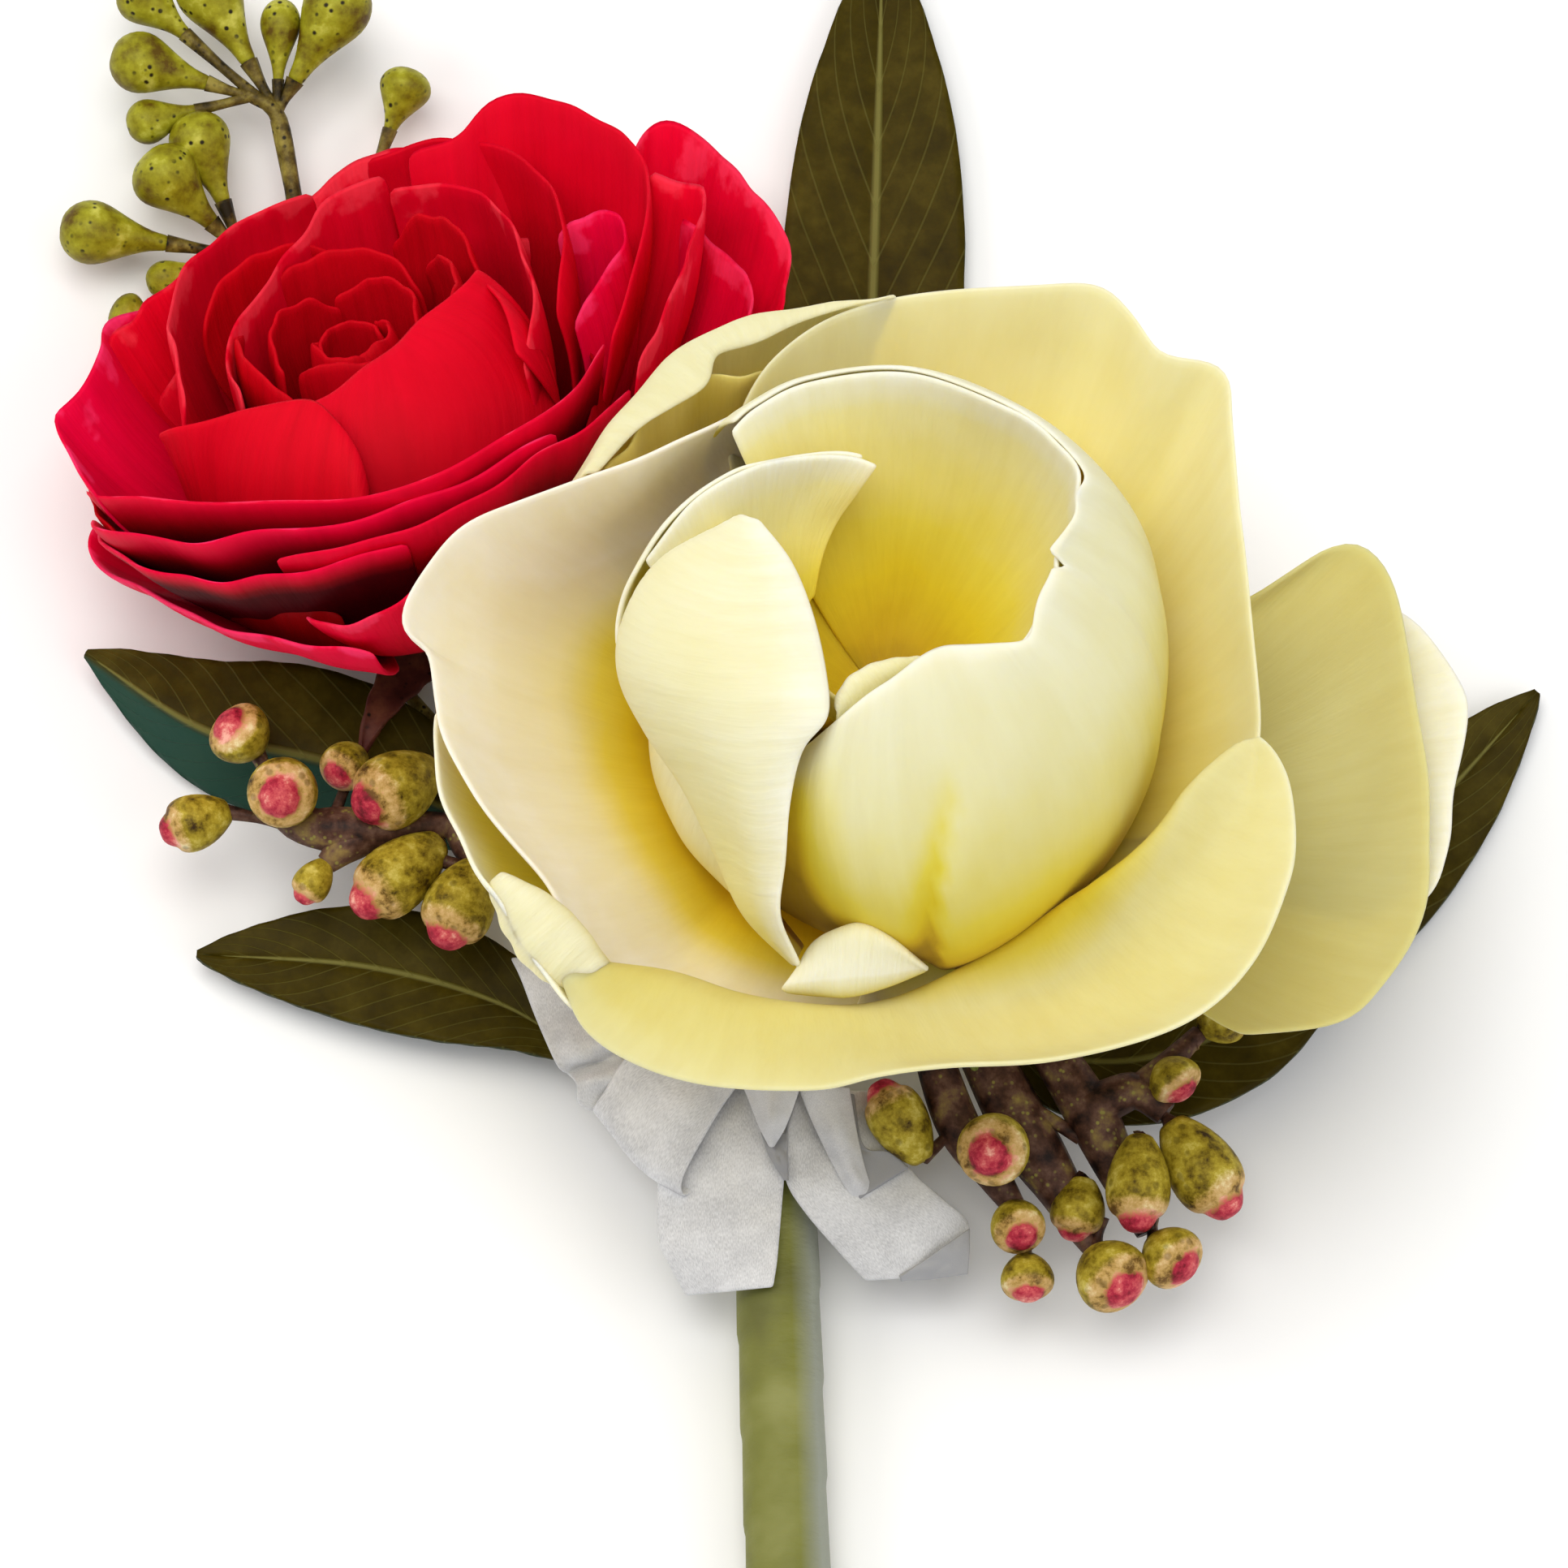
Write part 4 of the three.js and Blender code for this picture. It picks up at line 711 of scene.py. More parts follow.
creamRose = {
    "base": (8.3, 19.3, 20), "axis": (0.04, 0.173, 0.985), "zero": (1, 0, 0), "fade": 1.25,
    "outer": [
        # left petal, cool white, a wide shallow bowl that ends under the ball
        {"rim": [[118, 19.9, 27.6], [124, 20, 27.6], [130, 20.4, 27], [136, 21.2, 26.4], [144, 22.8, 25.8],
                 [153, 26.2, 25.2],
                 [161, 29.6, 25], [168, 33.3, 25], [176, 35.8, 25], [181, 36.4, 24.2], [182.5, 34.6, 22.6],
                 [187, 34.3, 20.6], [192, 34.1, 19], [200, 32.9, 18], [207, 31.3, 16.6], [213, 30.4, 15.2],
                 [218, 30.4, 13.2], [222, 30.8, 11], [227, 30.2, 9.4], [234, 28.4, 8], [244, 26.8, 7],
                 [252, 25, 6.2], [262, 23.4, 5.6], [274, 22, 5.2]],
         "handles": [[117, 24, 0, 22.4, 22], [130, 24, 0, 22.8, 21], [146, 24, 0, 23.2, 18],
                     [155, 23, 0, 25.2, 14.5],
                     [163, 21, 0, 27.4, 12.6], [175, 16, 1.5, 30.4, 10], [200, 14, 1.6, 28.4, 8.2],
                     [225, 16, 0.4, 25, 2.6],
                     [252, 18, 0, 22, 2]],
         "belly": (112, 270), "claw": 0.84, "tone": 1, "columns": 76, "rows": 22, "uneven": 0.55,
         "pleat": 0.06, "ragged": 0.008, "shade": [[0, 1], [0.34, 0.9], [0.46, 0.6], [0.54, 0.32], [0.62, 0.15],
                                                   [0.76, 0.05], [0.92, 0.01], [1, 0]],
         # painted light at the end near the ball, against the shade that falls there
         "sides": [[0, -0.3], [0.14, -0.3], [0.3, 0], [1, 0]]},
        # petal under it, its rim rolled out
        {"rim": [[186, 33.6, 16.6], [192, 34.5, 16.2], [199, 34.7, 15.8], [207, 34.5, 15.2], [213, 34.2, 14.6],
                 [219, 34.4, 13.6], [226, 34.8, 12.4], [232, 34, 11]],
         "handles": [[180, 24, -2, 33, 9.5], [232, 24, -2, 33, 7]], "tone": 0.5, "ragged": 0.03,
         "columns": 29, "rows": 16, "uneven": 0.3, "shade": [[0, 1], [0.7, 0.6], [0.86, 0.3], [1, 0.02]]},
        # small rolled lobe between the two
        {"ribs": [[[209.5, 32.8, 13.8], [215, 30.2, 11.4], [221, 29.2, 10], [227, 29.4, 9.6]],
                  [[209.5, 33, 14.6], [215, 31, 14.3], [221, 30.2, 13.4], [227, 30.4, 11.6]],
                  [[209.5, 33.2, 14.7], [215, 32.5, 14.9], [221, 32.3, 14], [227, 31.4, 12.2]],
                  [[209.5, 33.4, 14.4], [215, 33.9, 14], [221, 34.1, 13], [227, 32.6, 12]],
                  [[209.5, 33.6, 14], [215, 34.3, 12.6], [221, 34.6, 11.8], [227, 33.4, 11.4]]],
         "columns": 25, "rows": 18, "shade": [[0, 0.6], [0.25, 0.3], [0.5, 0.14], [0.75, 0.2], [1, 0.3]],
         "tone": 0.6, "uneven": 0.7, "pleat": 0.12},
        # bottom and lower right petal in one: it climbs out from under the ball, bends and runs out
        # flat, and at the right it is a spoon whose near side runs along the foot of the ball
        {"ribs": [[[229, 27, 3], [238, 25.8, 2], [250, 25, 2], [262, 24, 2], [276, 21, 3], [290, 20, 3.5],
                   [305, 20, 6], [318, 21.5, 8.5], [330, 23.4, 12], [343, 26, 16.5]],
                  [[226.5, 28.8, 8.6], [235, 26.4, 8.8], [246, 25.4, 8.8], [257, 24.4, 8], [268, 23, 6.5],
                   [280, 21.2, 6], [295, 20.4, 7], [308, 20.9, 9.4], [318, 22.4, 12], [330, 24.2, 15],
                   [344.6, 26.8, 19]],
                  [[225, 30.8, 11.2], [234, 28.2, 11.4], [245, 27.4, 11.6], [256, 26, 11], [268, 23.8, 9],
                   [280, 21.8, 8], [298, 20.8, 9.6], [309, 21.4, 12.2], [314.4, 22.4, 14.4],
                   [322.3, 23.5, 16.4],
                   [328.5, 24.2, 18], [334.7, 24.6, 19.2], [340.6, 25.7, 19.9], [345.4, 27.2, 20.4]],
                  [[224.6, 32.2, 12.2], [234, 30.4, 12.4], [246, 29.8, 12.8], [258, 28.4, 12], [270, 26.6, 9.8],
                   [284, 25, 8.2], [298, 25, 8.4], [310, 26, 10.8], [322.8, 27.2, 14.8], [330.2, 28.2, 16.8],
                   [337.5, 28.4, 18.4], [343.7, 28.4, 19.7], [346.4, 27.9, 20.3]],
                  [[224.2, 33.2, 12.5], [234, 33.6, 12.9], [247, 33.4, 13.6], [260, 31.8, 13.4],
                   [272, 29.8, 11.8], [285, 29.6, 10.8], [298, 31, 11.8], [311, 32.6, 14.6], [322.9, 32, 17],
                   [331.5, 31.8, 18.8], [337.8, 30.9, 19.7], [343.2, 29.7, 20.3], [346.6, 28.2, 20.5]],
                  [[224, 33.6, 12], [231, 35.6, 12], [239, 36, 12.6], [248, 35.6, 13.6], [261, 34, 14.3],
                   [269, 32.2, 14], [279, 31.8, 14.4], [292, 34, 16.2], [306.6, 36.5, 18.4],
                   [317.4, 36.7, 19.6],
                   [327.7, 35, 20.2], [333.9, 33.6, 20.5], [340.6, 31.6, 20.8], [344.8, 29.8, 20.8],
                   [346.8, 28.4, 20.6]]],
         "columns": 93, "rows": 27, "tone": [[0, 0.16], [0.5, 0.22],
                                             [1, 0.3]], "uneven": 0.45, "ragged": 0.01, "pleat": 0.04,
         "shade": [[0, 1], [0.2, 0.8], [0.4, 0.26], [0.5, 0.26], [0.65, 0.24], [0.8, 0.2], [0.95, 0.14],
                   [1, 0.03]],
         "sides": [[0, 0.16], [0.3, 0.06], [0.5, -0.06], [0.7, 0.02], [1, 0]]},
        # the back of that petal, down to the stalk
        {"rim": arc(322, 34, 24, 8.4), "tone": 0.4, "warm": 0.3},
        {"rim": [[264, 23.6, 4.6], [279, 24.2, 5], [292, 26, 6.6], [307, 28.2, 8.6], [318, 28.6, 9.8],
                 [328, 27.2, 10.8], [338, 24.4, 11.4]], "tone": 0.5, "columns": 29, "belly": (270, 334)},
        # guard petal, greenish
        {"rim": [[24, 27.5, 7.5], [22, 31.1, 9], [23, 34.7, 10], [24, 38.2, 11], [22, 40.3, 11], [15, 40.9, 10],
                 [358, 41.3, 9], [347, 42.7, 8.4], [341, 43.3, 8.2], [330, 43, 8], [325, 42, 7.4],
                 [318, 36.5, 6.6]], "hold": "flat", "tone": [[0, 0.1], [0.5, 0.14],
                                                             [1, 0.1]], "columns": 34, "rows": 18,
         "belly": (-40, 26), "gold": 0.4, "warm": 0.14},
        # outermost petal, white
        {"rim": [[22, 38, 5], [17, 42.3, 5.8], [8, 44.8, 6.2], [3, 44.8, 6.2], [348, 43.8, 6],
                 [343, 43.1, 6], [338, 40, 5]], "hold": "flat", "tone": 0.6, "gold": 0.3},
        # upper right petal
        {"rim": [[124, 21.5, 19], [118, 23.6, 22], [110, 25.4, 24.2], [97, 27.5, 25], [78, 29.6, 25.2],
                 [63, 33.4, 25], [55, 32.3, 25],
                 [49, 31.1, 25], [42, 33.6, 25], [36, 31.8, 25], [23, 28.9, 24], [10, 27.9, 21.4],
                 [1, 28, 19.4], [351, 28.3, 17.6], [344, 28, 16], [335, 26.6, 13.4], [325, 25, 11],
                 [315, 23, 8.6]],
         # painted shade at the petal's low right end, where it runs into the crevice by the ball
         "sides": [[0, 0], [0.66, 0], [0.8, 0.14], [1, 0.3]],
         "tone": 0.42, "columns": 61, "rows": 22, "belly": (-42, 122), "warm": 0.14, "gold": 0.8, "uneven": 0.7},
        # upper left petal: up behind the ball, then its rim rolls over towards the middle
        {"ribs": [[[148, 27.4, 11], [140, 26.4, 12], [126, 25.4, 13], [110, 24.4, 13.4], [94, 24, 14]],
                  [[149, 28.4, 16.6], [140, 28, 17.6], [126, 27.6, 18.6], [110, 27, 19.4], [92, 26.6, 20]],
                  [[149, 27.3, 19.6], [143, 27.7, 20.8], [137, 28, 21.6], [124, 28.9, 23], [115, 28.6, 24],
                   [106, 28.2, 24], [96, 27.8, 24.5], [89, 28.2, 24.6]],
                  [[148, 27.1, 21.2], [138, 26.9, 23], [124, 27, 24.6], [112, 27.2, 25.2], [100, 27.6, 25.4],
                   [89, 28.4, 25.1]],
                  [[147, 26.2, 21.4], [138, 25.6, 23], [131, 24.9, 23.9], [124, 24.6, 24.4], [120, 26.3, 24.6],
                   [117, 26.3, 24.5], [112, 26, 24.8], [104, 26.6, 25.1], [90, 28.2, 25.2]]],
         "tone": 0.4, "columns": 37, "rows": 23, "uneven": 0.25, "sides": [[0, 0], [0.6, 0], [1, 0.08]],
         "shade": [[0, 1], [0.25, 0.6], [0.5, 0.3], [0.75, 0.18], [1, 0.1]],
         "ragged": 0.02},
        # its shaded inner face
        {"rim": [[149, 26, 17.5], [141, 26.4, 20.8], [130, 26.2, 22.8], [120, 25.6, 23.2], [112, 24.8, 22],
                 [104, 24, 19]], "warm": 0.5, "gold": 0.5, "tone": 1, "columns": 29, "claw": 0.6,
         "handles": [[100, 26, 0, 24.5, 13], [152, 25, 0, 25, 12]], "pleat": 0.4},
        # backs
        {"rim": arc(95, 34, 27, 14), "tone": 0.3},
        {"rim": arc(158, 30, 25, 9), "tone": 0.3},
    ],
    "ball": [
        # one broad petal from the front round the right to the back, torn at the right
        {"rim": [[236, 13.6, 23.6], [242.5, 12.6, 27.4], [249, 12, 31], [257, 10.2, 32.5], [268, 8.7, 33.1],
                 [282, 7.5, 33.6], [297, 7.2, 33.6], [310, 8, 33.4], [320, 9.2, 33.3], [328, 10.7, 33.2],
                 [333, 11, 33.2], [342, 10.6, 33.4], [350, 10.6, 33.5], [361, 11.3, 33.8], [367, 11, 34],
                 [370, 11.6, 34], [379, 13.8, 34], [386, 14.7, 33.8], [393, 16.4, 33.4], [417, 16.7, 33],
                 [446, 17.8, 32], [470, 18.6, 31], [484, 18.7, 30.4], [490, 18.6, 29.9]],
         "handles": [[236, 21, -1, 19, 20], [244, 22.4, -2, 20.6, 21.4], [252, 24.4, -2, 22.6, 22],
                     [262, 26, -2, 24.2, 22],
                     [300, 26.6, -2, 24.6, 22], [340, 26.4, -2, 24.6, 23], [400, 26, -2, 24.4, 23],
                     [493, 26, -2, 24, 22]],
         "belly": (234, 488), "columns": 118, "rows": 28, "claw": 0.92, "uneven": 0.3, "ragged": 0.006,
         "pleat": 0.0, "tears": [[365, 1.8, 0.06]], "inside": 0.42,
         "shade": [[0, 1], [0.34, 0.94], [0.46, 0.8], [0.55, 0.6], [0.65, 0.44], [0.78, 0.3], [0.9, 0.2],
                   [0.97, 0.1], [1, 0]],
         # painted shade in the crevice at the petal's left end, and a painted shadow along the fold
         "sides": [[0, 0.5], [0.04, 0.56], [0.075, 0.5], [0.11, 0.2], [0.15, 0.02], [0.2, 0]],
         "fold": ([[292, 30], [285, 24.5], [281, 20], [281.6, 10], [283, 2]], 0.9, 26)},
        # left, shaped like an almond
        {"ribs": [[[139.7, 17, 17], [145.3, 17.8, 14], [155.5, 17.9, 10], [165.8, 16.9, 7], [175.8, 14.5, 5],
                   [193.2, 12, 4], [218.5, 12.1, 3], [237.1, 14.7, 3], [250.9, 17.4, 4]],
                  [[153.8, 13.2, 30], [166.9, 16.8, 26], [176.5, 18.6, 22], [185.5, 18.6, 18.5],
                   [196.4, 17.3, 16], [210, 16, 13.6], [226.7, 16.9, 11.4], [239.3, 18.7, 9.6],
                   [252.4, 20.6, 8.6]],
                  [[154.5, 12.7, 31.6], [169.3, 17.7, 28.4], [179.6, 19.9, 25], [188.5, 20.4, 22],
                   [199.6, 19.2, 19.5], [213, 18.1, 17], [227.9, 18.9, 14.6], [240.2, 20.9, 12.4],
                   [253, 22.5, 11]],
                  [[155, 12.3, 31.9], [172.7, 15.6, 30.6], [186.2, 17.3, 28.8], [198.3, 18.1, 27],
                   [210.6, 17.9, 24.6], [222.8, 18, 21.6], [233.8, 19.3, 17.6], [243, 21.5, 14.4],
                   [253.4, 22.6, 11.4]],
                  [[155.5, 11.8, 32.1], [174.3, 12.3, 32.1], [194.4, 13.3, 31.6], [210.8, 14.7, 30.6],
                   [224.2, 16.2, 28.8], [233, 17.9, 25.6], [240.1, 19.8, 20.8], [246, 21.9, 16],
                   [253.8, 22.9, 11.8]],
                  [[155.5, 11.5, 32.2], [174.4, 9.6, 32.7], [203.9, 9.6, 32.8], [225.7, 11.7, 32.3],
                   [236.7, 14, 31], [239.8, 16.8, 27.4], [244.8, 19.6, 22], [248.1, 22, 17], [254, 22.9, 12]],
                  [[155.3, 11.1, 32.2], [172.3, 7.8, 32.6], [209, 7, 32.6], [238.3, 9.7, 32.3],
                   [246.7, 12.6, 31.6], [243, 14.8, 29.4], [244.4, 17.4, 26.4], [247.4, 20, 22],
                   [249.1, 22.3, 17.4], [254.3, 22.9, 12]]],
         "columns": 59, "rows": 37, "uneven": 0.2, "pleat": 0.0, "ragged": 0,
         "shade": [[0, 1], [0.17, 0.7], [0.33, 0.24], [0.5, 0.16], [0.7, 0.16], [0.88, 0.1], [1, 0]],
         "sides": [[0, 0], [0.45, 0.04], [0.75, 0.2], [1, 0.42]]},
        # the ball's left side below it
        {"rim": arc(200, 44, 15.5, 16, drop=3), "handles": [[150, 20, -2, 19, 12], [250, 20, -2, 19, 12]],
         "columns": 28},
        # inner petal at the back left; its far end turns down into the cup
        {"rim": [[180, 20.3, 21], [176, 20.4, 22.4], [171, 20, 24.2], [165, 19.2, 25.8],
                 [158, 18.3, 27.2], [150, 17.2, 28.4], [142, 16.1, 29.2], [134, 15, 29.8], [118, 13.1, 30.2],
                 [108, 12.3, 30.2], [101, 11.7, 30]],
         "handles": [[101, 12, 17, 12.4, 25], [110, 14, 15, 14.2, 24], [124, 19, 8, 17, 22],
                     [150, 23, -2, 20.6, 21], [165, 22, -2, 21, 19.6], [172, 19, -1, 20.6, 18],
                     [181, 15, 0, 18.4, 15]],
         "belly": (138, 176), "columns": 48, "rows": 22, "claw": 0.85, "uneven": 0.2, "pleat": 0.02,
         "inside": 0.3},
    ],
    "heart": [
        # inner face of that petal, as far as its free edge that runs down into the cup
        {"ribs": [[[166, 19, 25.7], [150.4, 17, 28.4], [134.3, 14.8, 29.8], [118.7, 12.9, 30.2],
                   [105.4, 11.8, 30.1], [96, 11, 29.6]],
                  [[169.5, 16.4, 22.5], [152.5, 14.9, 25], [136.8, 13.2, 26.6], [123.8, 11.9, 27.2],
                   [113.1, 10.7, 27.4], [104.2, 10.2, 27.3]],
                  [[180, 13.6, 20.5], [158.1, 12.2, 22.4], [141.3, 11.4, 23.8], [129.9, 10.6, 24.8],
                   [121.2, 10, 25.1], [113.8, 9.6, 25.1]],
                  [[193.4, 12.1, 19.4], [171.4, 9.5, 20.6], [151.1, 9, 21.6], [137.9, 8.8, 22.6],
                   [131.1, 8.7, 23], [126, 8.4, 23.3]],
                  [[204.5, 10.9, 18.8], [189.5, 8.2, 19.4], [171.4, 7.3, 20], [156.1, 7.1, 20.6],
                   [148.4, 7.1, 21], [142.6, 7, 21.3]]],
         "columns": 37, "rows": 24, "uneven": 0.1, "pleat": 0.02, "ragged": 0,
         "shade": [[0, 0], [0.08, 0.08], [0.2, 0.34], [0.5, 0.46], [0.8, 0.6], [1, 0.7]]},
        # inner face of the broad petal
        {"rim": [[132, 18.2, 29.7], [124, 18.4, 30.5], [110, 18.3, 31.1], [86, 17.5, 32.1], [57, 16.4, 33.1],
                 [42, 16.2, 33.4], [33, 16.2, 33.4], [26, 15, 33.5], [19, 14.2, 33.5], [10, 12.2, 33.4],
                 [7, 11.8, 32.8], [2, 11.9, 32.6], [350, 10.8, 32.9], [340, 10.9, 32.7], [328, 10.6, 32.5],
                 [316, 9, 31.8]],
         "handles": [[-44, 6, 15, 9.8, 25], [20, 8, 15, 13.8, 24.6], [60, 8, 15, 15.8, 25],
                     [96, 8, 15, 14.2, 25], [140, 8, 15, 14.2, 24]],
         "columns": 66, "rows": 28, "root": (0.8, 13), "pleat": 0.02, "ragged": 0,
         "shade": [[0, 1], [0.3, 0.8], [0.45, 0.64], [0.6, 0.52], [0.75, 0.42], [0.87, 0.34], [0.93, 0.12],
                   [1, 0]]},
        {"rim": [[330, 9.4, 31], [310, 7.8, 31.8], [290, 7, 31.8], [268, 8, 31], [250, 9.8, 30],
                 [232, 9, 29], [210, 7.6, 28]], "columns": 33, "root": (0.8, 13),
         "handles": [[210, 6, 15, 8, 23], [330, 6, 15, 9, 24]]},
        # what shows of the cup's side under the free edge
        {"rim": [[122, 12.4, 23], [140, 12.2, 22.6], [165, 11.6, 22.2], [190, 10.6, 22], [222, 9.4, 22]],
         "root": (0.8, 13), "columns": 28, "handles": [[118, 8, 15, 11.4, 19], [222, 7, 15, 9.2, 19]],
         "shade": [[0, 0.9], [0.5, 0.76], [1, 0.6]]},
        # tip of a small petal in the notch
        {"ribs": [[[249, 12.2, 29.8], [252.2, 11.2, 30.3], [261.4, 9.2, 31], [277.2, 7.8, 31.3],
                   [293.3, 7.2, 31.3]],
                  [[248, 11.6, 30.6], [249, 10.4, 31.1], [256, 8.6, 31.7], [270, 7.5, 31.9], [289, 7, 31.7]],
                  [[247, 11.3, 30.6], [245.7, 10, 31.1], [249.5, 8.4, 31.6], [263.1, 7, 31.8],
                   [285.8, 6.7, 31.6]],
                  [[246.8, 11, 29.8], [246, 9.6, 30], [250, 7.9, 30.2], [264, 6.5, 30.2], [285, 6.4, 30]]],
         "columns": 18, "rows": 11, "uneven": 0.1, "shade": [[0, 0.4], [0.4, 0.24], [0.66, 0.04], [1, 0.6]]},
    ],
    "heartPetal": {"root": (0.8, 19), "claw": 1, "warm": 0.34, "gold": 0.42, "uneven": 0.2, "fade": 0.8,
                   "tone": 0.5},
    "tips": [
        # small lip at the foot of the ball, rolled over
        {"ribs": [[[253.4, 20.5, 8], [256.1, 19.4, 8.6], [265.6, 18.3, 9.2], [274.3, 18.8, 8.8], [279, 20.1, 8]],
                  [[253.7, 22.9, 11], [255.7, 21.3, 12.8], [260.4, 20.4, 14.2], [265.3, 20, 14.6],
                   [271.5, 20.8, 13.8], [276.1, 21.7, 12.2], [278.6, 21.9, 11]],
                  [[252.8, 23.9, 11.2], [256.8, 23.1, 12.8], [262.1, 22.4, 13.8], [267, 22.1, 13.8],
                   [273.2, 21.8, 12.8], [278.8, 21.9, 11]],
                  [[251.8, 24.5, 10.6], [257.1, 24.2, 11.4], [263.3, 24.1, 11.8], [270.1, 23.2, 11.8],
                   [278.9, 21.6, 10.8]],
                  [[253.5, 24, 9.6], [258.6, 23.8, 9.8], [264.4, 23.5, 10], [271.1, 22.5, 10],
                   [278.5, 21.4, 10]]],
         "columns": 33, "rows": 22, "uneven": 0.1, "pleat": 0.0, "tone": 0.5,
         "shade": [[0, 0.95], [0.2, 0.5], [0.32, 0.2], [0.5, 0.16], [0.75, 0.02], [1, 0.7]]},
    ],
}

# painted shade along a petal of the near side: dark all the way except a narrow strip under the rim, which is in
# the light
stacked = [[0, 1], [0.7, 0.9], [0.84, 0.66], [0.92, 0.3], [0.97, 0.1], [1, 0]]

